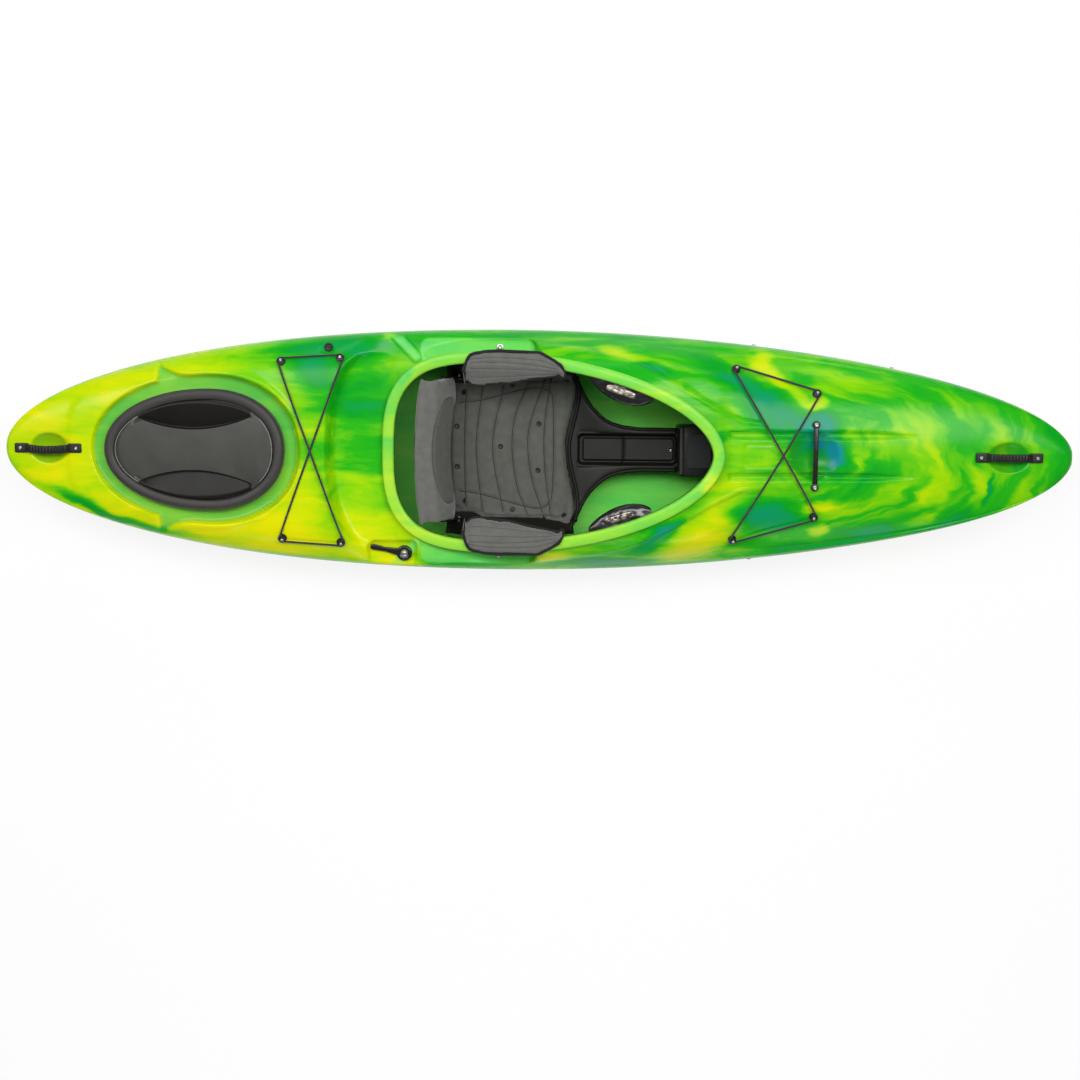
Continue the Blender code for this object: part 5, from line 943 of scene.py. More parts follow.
dress(steel, 0.0005, "backrest_bolt_left", "backrest_bolt_right", "rail_screw_left_1", "rail_screw_left_2",
      "rail_screw_right_1", "rail_screw_right_2")
dress(nylon, 0.0012, "foot_rail_left", "foot_rail_right", "foot_pedal_left", "foot_pedal_right", "skeg_box")
dress(seat_black, 0.0015, "backrest_shell")
dress(skeg_grey, 0.0016, "skeg_blade")
dress(foam, 0.0030, "stern_bulkhead", "bow_pillar")
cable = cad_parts["skeg_cable"]
cable.material_slots[0].material = braid
cable.data.shade_smooth()

# %% [markdown]
# ## Stern hatch lid
#
# The lid is two pieces: a thick rubber rim that snaps over the hatch neck, and a stiff panel with
# two lens-shaped hand scoops. The rim is a softened profile carried round the oval. The panel is a
# net whose lines follow the inner arc of each scoop, so the step there stays crisp from end to end,
# while the floor of the scoop rises smoothly to meet the rim on its outer side.

# %% Rubber rim
seat, flange = 0.2743, 0.3023
profile = soften([(-0.0217, seat), (-0.0006, seat), (0.0, 0.2775), (0.0, 0.3035), (-0.0045, 0.3118),
                  (-0.0130, 0.3146), (-0.0215, 0.3140), (-0.0270, 0.3120), (-0.0296, 0.3086),
                  (-0.0300, 0.3060), (-0.0300, flange), (-0.0340, flange), (-0.0340, 0.2983),
                  (-0.0217, 0.2983)], 0.0016, 4, closed=True)
near, far = hatch_outline(0.0), hatch_outline(1.0)
rings = [[(*(a + (b - a) * r), z) for r, z in profile] for a, b in zip(near, far)]
rim = ring_net("hatch_rim", rings, rubber, "hatch_lid")
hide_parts("hatch_seal")
print("rubber rim:", len(profile), "points in its section")

# %% Panel with its hand scoops
SCOOP_MIDDLE_X, SCOOP_REACH, SCOOP_NEAR_Y, SCOOP_TIP_Y = -0.9835, 0.1695, 0.058, 0.096
bend = np.linspace(0, math.pi / 2, 10)
panel_x = np.concatenate([-1.2067 + 0.030 * (1 - np.cos(bend)), np.linspace(-1.174, -0.786, 150),
                          -0.7553 - 0.030 * (1 - np.sin(bend))])
panel_x = np.unique(np.clip(np.round(panel_x, 5), -1.2066, -0.7554))


def scoop_along(x):
    """Share of the way from the middle of a scoop to its tip."""
    return np.clip(np.abs(x - SCOOP_MIDDLE_X) / SCOOP_REACH, 0, 1)


def scoop_arc(along):
    """Distance of a scoop's inner edge from the centreline."""
    return SCOOP_NEAR_Y + (SCOOP_TIP_Y - SCOOP_NEAR_Y) * along ** 2


def panel_crown(x, y):
    """Height of the panel before its scoops: a low crown that rolls down at the edge."""
    radial = np.hypot((x + 0.965) / 0.245, y / 0.1434)
    return 0.3116 + 0.0036 * (1 - np.clip(radial, 0, 1) ** 2.2) - 0.0045 * ease(radial, 0.93, 1.0)


wide = egg_half(panel_x, -1.2067, -0.7553, -0.940, 0.1434, 2.05, 2.15)
along = scoop_along(panel_x)
arc = np.minimum(scoop_arc(along), 0.80 * wide)
depth = 0.019 * np.maximum(0, 1 - along ** 2) ** 0.6
flat_part = np.linspace(0, 1, 14)[:-1]
step_lines = arc[:, None] + np.array([-0.0016, -0.0004, 0.0012, 0.0034])
outer_part = arc[:, None] + 0.0034 + (wide - arc - 0.0034)[:, None] * (np.arange(1, 23) / 22)
columns_y = np.concatenate([arc[:, None] * flat_part, step_lines, outer_part], 1)
across = np.clip((columns_y - arc[:, None] - 0.0034) / np.maximum(wide - arc - 0.0034, 1e-4)[:, None], 0, 1)
step_down = np.clip((columns_y - arc[:, None] + 0.0004) / 0.0038, 0, 1)
scoop = depth[:, None] * step_down * (1 - across) ** 1.15
height = panel_crown(panel_x[:, None], columns_y) - scoop
full_y = np.concatenate([-columns_y[:, :0:-1], columns_y], 1)
full_z = np.concatenate([height[:, :0:-1], height], 1)
full_x = np.repeat(panel_x[:, None], full_y.shape[1], 1)
lid_points = np.stack([full_x, full_y, full_z], 2).reshape(-1, 3)
lid = piece("hatch_panel_top", lid_points, net_faces(*full_y.shape), panel_grey, "hatch_lid")
# the scoops take a much darker colour than the panel: painted shade in their recesses
scoop_painted_shade = grained("hdpe_scoop_painted_shade", "#171513", 4.0, 0.02, (0.36, 0.44), 1.54, mirror=0.14)
lid.data.materials.append(scoop_painted_shade)
centre = np.array([f.center[:] for f in lid.data.polygons])
face_along = scoop_along(centre[:, 0])
in_scoop = (np.abs(centre[:, 1]) > scoop_arc(face_along)) & (face_along < 0.985)
lid.data.polygons.foreach_set("material_index", in_scoop.astype(np.int32))
walled(lid, 0.0035)
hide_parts("hatch_panel")
print("panel net:", full_y.shape, "deepest scoop:", round(float(scoop.max()), 4))

# %% Pale beads at the ends of the panel, their pale grey a painted highlight
# the beads' pale grey is a painted highlight along the panel's edge at each end
bead_highlight_grey = grained("hdpe_edge_painted_highlight", "#8b8a88", 2.0, 0.05, (0.35, 0.5), 1.54)
edge_line = hatch_outline(-0.0330)
for word, way in (("aft", -1), ("fore", 1)):
    arc_points = sorted((p for p in edge_line if way * (p[0] + 0.965) > 0.168), key=lambda p: p[1])
    path = [(*p, z + 0.0004) for p, z in zip(arc_points, panel_crown(*np.array(arc_points).T))]
    made = swept("panel_bead_" + word, path, 0.0026, 0.0018, bead_highlight_grey, "hatch_lid", (0, 0, 1), sides=8)
print("beads of", len(path), "points at each end")

# %% [markdown]
# ## Grab handles
#
# Each end has a carrying handle: two flat feet bolted to the deck and a ribbed strap that arches over
# a finger dish. The strap is a flat section swept along its arch, with the rib height added to its
# thickness, so the ribs run across it as they do on the moulded one. The feet are softened blocks.

# %% Handles with ribs, feet and bolts
def bolt(name, node, spot, normal, head):
    """A domed stainless head with a round socket; the spot is where it seats."""
    socket = head * 0.45
    profile = [(0.0, head * 0.12), (socket * 0.9, head * 0.12), (socket, head * 0.52),
               (head * 0.70, head * 0.50), (head, head * 0.18), (head, 0.0), (head * 0.5, 0.0),
               (head * 0.45, -0.006)]
    made = turned(name, soften(profile, head * 0.12, 3), spot, normal, steel, sides=24)
    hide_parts(node)


for word, centre in (("stern", STERN_HANDLE_X), ("bow", BOW_HANDLE_X)):
    span = 0.065
    u = np.linspace(-1, 1, 121)
    ends = [deck_place(centre + way * span, 0.0, 0.0006)[0][2] for way in (-1, 1)]
    base = ends[0] + (ends[1] - ends[0]) * (u + 1) / 2
    arch = 0.018 * np.cos(math.pi / 2 * u) ** 0.8
    rib = 0.0012 * np.cos(u * math.pi * 15) * (np.abs(u) < 0.80)
    strap = 0.0052 + 0.0060 * ease(1 - np.abs(u), 0.0, 0.30)
    sag = -0.0045 * np.cos(math.pi / 2 * u) if word == "stern" else 0 * u
    path = np.stack([centre + u * span * 1.02, sag, base + arch + strap / 2 + 0.0006], 1)
    grip = swept(word + "_grip", path, 0.0225 + rib, strap + 2 * rib, nylon, power=5.0, sides=28)
    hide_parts(word + "_handle")
    for number, way in ((1, -1), (2, 1)):
        spot, normal = deck_place(centre + way * 0.080, 0.0, 0.0006)
        lean = -normal[0] / normal[2]
        foot_x = np.linspace(-0.0235, 0.0150, 15) * way
        path = np.stack([spot[0] + foot_x, 0 * foot_x, spot[2] + lean * foot_x + 0.0036], 1)
        swell = 1 - 0.10 * np.abs(np.linspace(-1, 1, 15)) ** 8
        foot = swept(f"{word}_handle_foot_{number}", path, 0.0275 * swell, 0.0072 * swell, nylon, power=6.0,
                     sides=28)
        bolt(f"{word}_handle_bolt_head_{number}", f"{word}_handle_bolt_{number}", spot + normal * 0.0072,
             normal, 0.0052)
print("handles: a rib every 9 mm on each grip")

# %% [markdown]
# ## Deck posts, security bar and lever
#
# The shock cords run round eight low nylon posts, each held by a screw. The security bar bridges the
# foredeck dish so that a cable lock can pass under it. The skeg lever is a flat arm with a wide tip
# that turns on a big domed bolt. These are turned profiles, a sweep and a softened plate.

# %% Posts and their screws
POSTS = {"stern": ((-0.732, 0.2510), (-0.565, 0.2615)), "bow": ((0.5575, 0.2400), (0.789, 0.1740))}


def post_places(word):
    """Aft and fore post on port, then the same on starboard."""
    return [(x, side * y) for side in (1, -1) for x, y in POSTS[word]]


post_profile = soften([(0.0, 0.0), (0.0122, 0.0), (0.0125, 0.0028), (0.0070, 0.0036), (0.0064, 0.0115),
                       (0.0104, 0.0122), (0.0106, 0.0142), (0.0070, 0.0152), (0.0, 0.0152)], 0.0011, 4)
for word in POSTS:
    for i, (x, y) in enumerate(post_places(word)):
        spot, normal = deck_place(x, y, 0.0003)
        post = turned(f"{word}_post_body_{i + 1}", post_profile, spot, normal, nylon)
        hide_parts(f"{word}_post_{i + 1}")
        bolt(f"{word}_post_head_{i + 1}", f"{word}_post_screw_{i + 1}", spot + normal * 0.0150, normal,
             0.0048)
print("posts: 8, each 25 mm across")

# %% Security bar
BAR_HALF, BAR_TOP = 0.089, 0.3352
bar_y = np.linspace(-BAR_HALF, BAR_HALF, 41)
bar_rise = 0.3312 + 0.003 * (1 - (bar_y / BAR_HALF) ** 2)
bar = swept("lock_bar", np.stack([0 * bar_y + BAR_X, bar_y, bar_rise], 1), 0.0138, 0.0064, nylon_gloss,
            side=(1, 0, 0), power=3.5, sides=24)
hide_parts("security_bar")
low = at(deck_z, BAR_X, BAR_HALF) + 0.0004
high = BAR_TOP - low
boss = soften([(0.0, 0.0), (0.0108, 0.0), (0.0112, 0.003), (0.0106, high), (0.0, high)], 0.0014, 4)
for word, side in (("left", 1), ("right", -1)):
    foot = turned("bar_boss_" + word, boss, (BAR_X, side * BAR_HALF, low), (0, 0, 1), nylon)
    bolt("bar_bolt_head_" + word, "bar_bolt_" + word, (BAR_X, side * BAR_HALF, BAR_TOP), (0, 0, 1), 0.0070)
print("security bar:", 2 * BAR_HALF, "m between its bolts")

# %% Skeg lever
angle = math.radians(169.0)
along_arm = np.array([math.cos(angle), math.sin(angle)])
over_arm = np.array([-along_arm[1], along_arm[0]])
hub = np.array([-0.385, -0.2975])
arm_u = np.linspace(0, 1, 25)
arm_half = np.interp(arm_u, [0, 0.18, 0.55, 0.86, 0.96, 1.0], [0.016, 0.011, 0.0064, 0.0084, 0.0080, 0.0030])
edge_a = hub + along_arm * (0.1 * arm_u)[:, None] - over_arm * arm_half[:, None]
edge_b = hub + along_arm * (0.1 * arm_u)[::-1, None] + over_arm * arm_half[::-1, None]
low, high = 0.2433, 0.2563
outline = np.concatenate([edge_a, edge_b])
arm = plate("lever_arm", outline, low + 0.0015, high - 0.002, nylon_gloss, "lever", 0.0025)
ring = soften([(0.0, 0.0), (0.0225, 0.0), (0.0225, 0.0105), (0.0190, 0.0130), (0.0140, 0.0130),
               (0.0120, 0.0118), (0.0, 0.0118)], 0.0018, 5)
knob = turned("lever_hub", ring, (*hub, low), (0, 0, 1), nylon_gloss, "lever", 48)
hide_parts("skeg_lever")
dome = soften([(0.0, 0.0063), (0.0050, 0.0060), (0.0086, 0.0038), (0.0112, 0.0012), (0.0112, 0.0),
               (0.004, 0.0), (0.003, -0.012)], 0.0012, 4)
cap = turned("lever_bolt_head", dome, (*hub, high - 0.0010), (0, 0, 1), steel, "boat", 40)
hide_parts("lever_bolt")
print("skeg lever: arm of", len(outline), "points")

# %% Drain plug and hip screws
spot = (DRAIN_X, DRAIN_Y, at(deck_z, DRAIN_X, DRAIN_Y) - 0.0022)
stopper = soften([(0.0, -0.015), (0.0066, -0.015), (0.0080, -0.012), (0.0080, 0.0), (0.0130, 0.0),
                  (0.0130, 0.0018), (0.0112, 0.0040), (0.0085, 0.0042), (0.0075, 0.0030), (0.0, 0.0030)],
                 0.0009, 4)
plug = turned("drain_stopper", stopper, spot, (0, 0, 1), nylon, "drain", 40)
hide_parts("drain_plug")
ridge_path = [(DRAIN_X + dx, DRAIN_Y, spot[2] + 0.0042) for dx in np.linspace(-0.0078, 0.0078, 9)]
bar = swept("drain_grip", ridge_path, 0.0036, 0.0030, nylon, "drain", power=3.0)
washer = soften([(0.0, 0.0), (0.0090, 0.0), (0.0090, 0.0012), (0.0, 0.0012)], 0.0005, 3)
for word, side in (("left", 1), ("right", -1)):
    spot = np.array([-0.111, side * 0.2985, 0.2623])
    made = turned("hip_washer_" + word, washer, spot, (0, 0, 1), steel)
    bolt("hip_screw_head_" + word, "hip_screw_" + word, spot + (0, 0, 0.0012), (0, 0, 1), 0.0066)
print("fittings done")

# %% [markdown]
# ## Shock cords
#
# Each bungee is one loop of 6 mm shock cord: two side runs and two diagonals that cross, held behind
# the four post necks. A stretched cord is straight except where something holds it up, so each run
# is the tightest line over the crown of the deck, and one diagonal passes over the other.

# %% Bungee loops
def taut_run(start, end, lift):
    """The tight line over the deck between two points."""
    share = np.linspace(0, 1, 41)
    line = start + (end - start) * share[:, None]
    low = deck_z(line[:, 0], line[:, 1]) + 0.0038 + lift
    low[0], low[-1] = start[2], end[2]
    tight = []
    for point in zip(share, low):
        while len(tight) > 1:
            (u0, z0), (u1, z1) = tight[-2:]
            if (z1 - z0) * (point[0] - u0) > (point[1] - z0) * (u1 - u0):
                break
            tight.pop()
        tight.append(point)
    line[:, 2] = np.interp(share, *zip(*tight))
    return list(line[2:-2])


for word in POSTS:
    corners = [deck_place(x, y, 0.0078) for x, y in post_places(word)]
    wraps = []
    for n, (middle, normal) in enumerate(corners):
        to = [corners[(n + way) % 4][0] - middle for way in (-1, 1)]
        away = -(to[0] / np.linalg.norm(to[0]) + to[1] / np.linalg.norm(to[1]))
        away -= normal * away.dot(normal)
        away /= np.linalg.norm(away)
        side = np.cross(normal, away)
        side = side if side.dot(to[0]) > 0 else -side
        wraps.append([middle + (away * math.cos(a) + side * math.sin(a)) * 0.0100
                      for a in np.radians(np.linspace(80, -80, 13))])
    route = []
    for n in range(4):
        route += wraps[n] + taut_run(wraps[n][-1], wraps[(n + 1) % 4][0], 0.0075 if n == 3 else 0.0)
    loop = swept(word + "_shock_cord", route, 0.006, 0.006, braid, side=(0, 0, 1), sides=12, closed=True)
    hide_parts(word + "_bungee")
print("bungee loops: 2, cord 6 mm")

# %% [markdown]
# ## Seat frame
#
# The seat is one big injection moulding. A shallow pan rises into two wings that stand inside the
# coaming, and in front of the pad the frame flares down to the beam between the legs. It is built as
# thin nets with a wall, and a rolled bead along each free edge, because a moulder always thickens
# an edge that a hand or a leg will meet.

# %% Pan and wings
SEAT_ROWS = (-0.250, -0.200, -0.150, -0.070, 0.000, 0.050, 0.090, 0.125)
SEAT_PAN_Z = (0.064, 0.060, 0.060, 0.064, 0.074, 0.085, 0.093, 0.098)
SEAT_WING_Z = (0.165, 0.228, 0.2535, 0.2535, 0.238, 0.195, 0.155, 0.130)
SEAT_Y = (0.0, 0.070, 0.140, 0.180, 0.205, 0.2225)
SEAT_RISE = (0.0, 0.0, 0.002, 0.008, 0.022, 0.045)


def pan_z(x, y):
    """Height of the pan under the pad."""
    return np.interp(x, SEAT_ROWS, SEAT_PAN_Z) + np.interp(np.abs(y), SEAT_Y + (0.242,), SEAT_RISE + (0.085,))


frame_x = np.linspace(-0.270, 0.106, 61)
half_y = np.concatenate([np.linspace(0, 0.2225, 26), [0.2300, 0.2360, 0.2405, 0.2430, 0.2445]])
pan_y = np.concatenate([-half_y[:0:-1], half_y])
wing_top = np.interp(frame_x, SEAT_ROWS, SEAT_WING_Z)
side_z = pan_z(frame_x, 0.2225)
climb = np.clip((np.abs(pan_y) - 0.2225) / 0.022, 0, 1) ** 1.8
grid = np.interp(frame_x, SEAT_ROWS, SEAT_PAN_Z)[:, None] + np.interp(np.abs(pan_y), SEAT_Y, SEAT_RISE)[None, :]
grid = grid + (wing_top - side_z)[:, None] * climb[None, :]
for _ in range(3):
    grid[1:-1] = (grid[:-2] + 2 * grid[1:-1] + grid[2:]) / 4
    grid[:, 1:-1] = (grid[:, :-2] + 2 * grid[:, 1:-1] + grid[:, 2:]) / 4
frame_points = np.stack(np.broadcast_arrays(frame_x[:, None], pan_y[None, :], grid), 2)
pan = piece("seat_frame", frame_points.reshape(-1, 3), net_faces(*grid.shape), seat_black)
walled(pan, 0.0045)
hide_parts("seat_shell")
for word, column in (("port", -1), ("starboard", 0)):
    bead = swept("seat_edge_" + word, frame_points[:, column], 0.008, 0.008, seat_black, sides=14)
print("seat frame:", grid.shape, "net")

# %% Flare, its rolled edge, the spine and the hip tabs
def flare_half(x):
    """Half the width of the frame where it narrows to the beam."""
    wide = np.interp(x, [0.098, 0.112, 0.124, 0.1365, 0.150, 0.1625, 0.1883, 0.215, 0.250, 0.300],
                     [0.2330, 0.2080, 0.1810, 0.1540, 0.1335, 0.1175, 0.0930, 0.0770, 0.0665, 0.0605])
    return np.convolve(np.pad(wide, 2, mode="edge"), np.ones(5) / 5, "valid")


def flare_z(x, y, out):
    """Height of the flare; out is the share of the way to its free edge."""
    settle = ease(x, 0.105, 0.185)
    rise = np.interp(np.abs(y), SEAT_Y, SEAT_RISE)
    high = (0.1005 + rise) * (1 - settle) + settle * (0.1062 + 0.018 * (np.abs(y) / 0.2) ** 2)
    return high - 0.005 * np.abs(out) ** 14


def pad_front(y):
    """Where the cushion ends in front: an S on each side, rounded back at its corners."""
    return 0.0845 + 0.0276 * ease(np.abs(y), 0.0, 0.165) - 0.0070 * ease(np.abs(y), 0.172, 0.215)


SPLIT_X = 0.1180
first_x = 0.0940 + (SPLIT_X - 0.0940) * np.linspace(0, 1, 15)
edge_x = np.concatenate([first_x, np.linspace(0.1215, 0.300, 58), np.linspace(0.310, 0.412, 12)])
half_x = flare_half(edge_x)[:, None]
span = np.linspace(0, 1, 25)[None, 1:]
beyond = 0.0462 + (half_x - 0.0462) * span
flare_y = np.concatenate([-beyond[:, ::-1], np.repeat(np.linspace(-0.0462, 0.0462, 13)[None], len(edge_x), 0),
                          beyond], 1)
from_front = np.clip((edge_x - first_x[0]) / (SPLIT_X - first_x[0]), 0, 1)[:, None]
start_x = pad_front(flare_y) - 0.0140
flare_x = np.where(edge_x[:, None] > SPLIT_X, edge_x[:, None], start_x + (SPLIT_X - start_x) * from_front)
away = np.concatenate([1 - span[:, ::-1], np.ones((1, 13)), 1 - span], 1)
lip = 0.004 * away ** 12 * ease(flare_x, SPLIT_X, SPLIT_X + 0.012)
tucked = 0.0045 * (1 - ease(flare_x - pad_front(flare_y), -0.010, 0.002))
flare_up = flare_z(flare_x, flare_y, np.abs(flare_y) / half_x) - lip - tucked
points = np.stack([flare_x, flare_y, flare_up], 2)
keep = np.ones((points.shape[0] - 1, points.shape[1] - 1), bool)
keep[14:, 24:36] = False
flare = piece("seat_flare", points.reshape(-1, 3), net_faces(*points.shape[:2], keep=keep), seat_black)
walled(flare, 0.0045)
roll_y = np.linspace(-0.211, 0.211, 70)
roll_x = pad_front(roll_y) + 0.0075
roll = np.stack([roll_x, roll_y, flare_z(roll_x, roll_y, 0 * roll_y)], 1)
# the flare's rolled edges are darker than the pan: painted shade in the gaps beside them
for word, edge_line in (("front", roll), ("port", points[:, -1]), ("starboard", points[:, 0])):
    bead = swept("flare_edge_" + word, edge_line - (0, 0, 0.001), 0.0150, 0.0115, seat_edge_painted_shade, sides=14,
                 side=(0, 0, 1))
spine = swept("seat_spine", [(x, 0, 0.030) for x in np.linspace(-0.165, 0.120, 12)], 0.066, 0.048, seat_black,
              power=8.0, sides=28)
for word, side in (("port", 1), ("starboard", -1)):
    low, high = sorted((side * 0.238, side * 0.3110))
    outline = soften([(-0.150, low), (-0.072, low), (-0.072, high), (-0.150, high)], 0.010, 5, True)
    tab = plate("hip_tab_" + word, outline, 0.2503, 0.2561, seat_black, edge=0.0015)
print("flare:", points.shape[:2], "net")

# %% [markdown]
# ## Centre beam
#
# The beam between the legs carries a long tray with round corners and a rib across it, the lifter
# knob in its fore end, and a block that the foredeck stands on. The tray's top is a net that is sunk
# like the deck's recesses, so its corners and its floor get the same moulded radii.

# %% Beam, tray and block
beam_x = np.unique(np.round(np.concatenate([np.linspace(0.1172, 0.468, 130), np.linspace(0.118, 0.140, 17),
                                            np.linspace(0.246, 0.263, 13), np.linspace(0.398, 0.420, 12)]), 5))
top_y = np.concatenate([np.linspace(-0.0515, -0.034, 12), np.linspace(-0.033, 0.033, 30),
                        np.linspace(0.034, 0.0515, 12)])
bx, by = np.meshgrid(beam_x, top_y, indexing="ij")
tray = box_distance(bx, by, (0.1215, -0.0405), (0.409, 0.0405), 0.012)
tray_z = sunk(np.full(bx.shape, 0.105), tray, 0.0835, 3.5, 0.0012, 0.0015)
mat = box_distance(bx, by, (0.1340, -0.0330), (0.4020, 0.0330), 0.008)
tray_z += 0.0120 * (1 - ease(mat, -0.0015, 0.0015))
tray_z += 0.0024 * np.exp(-((bx - 0.2572) / 0.0015) ** 2) * (np.abs(by) < 0.0320)
tray_z -= 0.0045 * np.exp(-((bx - 0.2515) / 0.0016) ** 2)
tray_z += 0.0040 * ease(bx, 0.416, 0.421)
skirt_y = np.tile([-0.0540, -0.0540, -0.0538, -0.0530], (len(beam_x), 1))
skirt_z = np.tile([0.0062, 0.1010, 0.1035, 0.1046], (len(beam_x), 1))
body_y = np.concatenate([skirt_y, by, -skirt_y[:, ::-1]], 1)
body_z = np.concatenate([skirt_z, tray_z, skirt_z[:, ::-1]], 1)
points = np.stack(np.broadcast_arrays(beam_x[:, None], body_y, body_z), 2)
beam = piece("beam_with_tray", points.reshape(-1, 3), net_faces(*body_y.shape), seat_black)
walled(beam, 0.0040)
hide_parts("centre_beam")
block_outline = soften([(0.4135, -0.0745), (0.5165, -0.0745), (0.5165, 0.0745), (0.4135, 0.0745)], 0.012,
                       5, True)
block = plate("beam_block", block_outline, 0.0185, 0.1600, nylon, edge=0.004)
flange_path = [(0.4215, y, 0.1585) for y in np.linspace(-0.0720, 0.0720, 31)]
flange = swept("block_flange", flange_path, 0.0135, 0.0110, nylon, side=(1, 0, 0), power=4.0, sides=20)
pad_outline = soften([(0.436, -0.050), (0.509, -0.050), (0.509, 0.050), (0.436, 0.050)], 0.014, 5, True)
raised = plate("block_pad", pad_outline, 0.1570, 0.1645, foam, edge=0.003)
print("beam net:", body_y.shape)

# %% Lifter knob
KNOB_X = 0.392
knob_profile = soften([(0.0, -0.0497), (0.0038, -0.0497), (0.0038, 0.0), (0.0090, 0.0), (0.0107, 0.0035),
                       (0.0100, 0.0085), (0.0072, 0.0118), (0.0050, 0.0112), (0.0, 0.0100)], 0.0014, 4)
knob = turned("knob_cap", knob_profile, (KNOB_X, 0.0, 0.0853), (0, 0, 1), nylon_gloss, "knob", 36)
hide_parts("lifter_knob")
pointer = [(KNOB_X + dx, 0.0, 0.0970) for dx in np.linspace(-0.0070, 0.0070, 9)]
grip = swept("knob_pointer", pointer, 0.0022, 0.0022, steel, "knob", sides=10)
print("knob section:", len(knob_profile), "points")

# %% [markdown]
# ## Fabrics
#
# The seat pad is covered in a coarse woven polyester, grey with darker and lighter picks. Its real
# threads are about 0.6 mm apart, too fine for this picture, so the weave is drawn at 2.4 mm. The back
# band and the hip pads wear a brushed knit, paler and softer, with a nap of a few millimetres. Black
# woven tape binds the edges, and the quilting is sewn in dark thread, laid thick enough that it also
# paints the shade in the seam channels.

# %% Fabric materials
def fabric(name, code, thread_mm, contrast, nap):
    """Crossing threads with slow shade changes, about 30 mm wide, and a soft sheen."""
    made, tree, place = new_material(name)
    weave = crossed(tree, place, ((1.0, 0.22, 0.30), (-0.22, 1.0, 0.55)), thread_mm / 1000)
    fuzz = add(tree, "TexNoise", {"Vector": place, "Scale": 1000 / (thread_mm * 0.8), "Detail": 3.0,
                                  "Roughness": 0.6})
    broad = add(tree, "TexNoise", {"Vector": place, "Scale": 1000 / 30, "Detail": 4.0, "Roughness": 0.6})
    height = add(tree, "Math", {0: weave, 1: 0.5, 2: fuzz}, operation="MULTIPLY_ADD")
    shade = add(tree, "MapRange", {"Value": height, "To Min": 1 - contrast, "To Max": 1 + contrast})
    cloud = add(tree, "MapRange", {"Value": broad, "From Min": 0.3, "From Max": 0.7, "To Min": 0.86,
                                   "To Max": 1.14})
    both = add(tree, "Math", {0: shade, 1: cloud}, operation="MULTIPLY")
    colour = add(tree, "VectorMath", {0: linear(code)[:3], "Scale": both}, operation="SCALE")
    bump = add(tree, "Bump", {"Height": height, "Strength": 0.55, "Distance": thread_mm / 4000})
    return shaded(made, {"Base Color": colour, "Normal": bump, "Roughness": 0.88, "IOR": 1.5,
                         "Sheen Weight": nap, "Sheen Roughness": 0.45})


woven = fabric("woven_polyester_seat_cloth", "#575852", 2.4, 0.16, 0.15)
knit = fabric("brushed_polyester_knit", "#5f605b", 2.8, 0.12, 0.35)
pebbled = fabric("embossed_knit_panel", "#565752", 5.0, 0.34, 0.15)
tape = fabric("woven_nylon_binding_tape", "#101011", 1.6, 0.25, 0.05)
# dark thread: real stitching, whose colour and width also paint the shade in the seam channels
thread = fabric("bonded_nylon_thread", "#252622", 1.2, 0.2, 0.1)
print("fabrics:", woven.name, knit.name, tape.name)

# %% [markdown]
# ## Stuffing, seams and stitches
#
# A sewn cushion gets its shape from the pressure of its filling against a cover that doesn't
# stretch. So each pad starts a little small, is remeshed evenly, and is then blown up by a cloth
# simulation whose movement is capped. After that the seams are pressed in: points near a seam sink,
# which makes the channel, and a thin dark thread is laid along its bottom, which also paints the
# shade in the channel.

# %% Cushion tools
def settled(made):
    """Replaces a piece's mesh by what its modifiers make of it."""
    graph = bpy.context.evaluated_depsgraph_get()
    mesh = bpy.data.meshes.new_from_object(made.evaluated_get(graph))
    made.modifiers.clear()
    made.data = mesh


def move_to(mesh, places):
    """Puts a mesh's points at new places."""
    mesh.vertices.foreach_set("co", np.asarray(places, float).ravel())
    mesh.update()


def stuffed(made, pressure, cap, voxel=0.005, floor=None):
    """Blows a closed piece up like a filling does; floor(x, y) is a height it may not sink below."""
    even = made.modifiers.new("even", "REMESH")
    even.mode, even.voxel_size = "VOXEL", voxel
    settled(made)
    places = coordinates(made.data)
    cloth = made.modifiers.new("filling", "CLOTH")
    cloth.settings.quality = 4
    cloth.settings.mass = 0.25
    cloth.settings.tension_stiffness = cloth.settings.compression_stiffness = 18
    cloth.settings.bending_stiffness = 1.5
    cloth.settings.use_pressure = True
    cloth.settings.uniform_pressure_force = pressure
    cloth.settings.effector_weights.gravity = 0
    cloth.point_cache.frame_start, cloth.point_cache.frame_end = 1, 20
    for step in range(1, 21):
        bpy.context.scene.frame_set(step)
    blown = made.evaluated_get(bpy.context.evaluated_depsgraph_get())
    moved = coordinates(blown.data) - places
    reach = np.linalg.norm(moved, axis=1)[:, None]
    places = places + moved * np.minimum(1, cap / np.maximum(reach, 1e-9))
    made.modifiers.clear()
    bpy.context.scene.frame_set(1)
    print(made.name, "moved", round(float(reach.max()) * 1000, 1), "mm before the cap")
    if floor is not None:
        places[:, 2] = np.maximum(places[:, 2], floor(places[:, 0], places[:, 1]))
    move_to(made.data, places)
    finer = made.modifiers.new("finer", "SUBSURF")
    finer.levels = finer.render_levels = 1
    settled(made)
    made.data.shade_smooth()


def to_line(flat, line):
    """Distance in a plane from points to a line of points."""
    best = np.full(len(flat), 1e9)
    for a, b in zip(line[:-1], line[1:]):
        span = b - a
        t = np.clip(((flat - a) @ span) / max(span @ span, 1e-12), 0, 1)
        best = np.minimum(best, np.linalg.norm(flat - a - t[:, None] * span, axis=1))
    return best


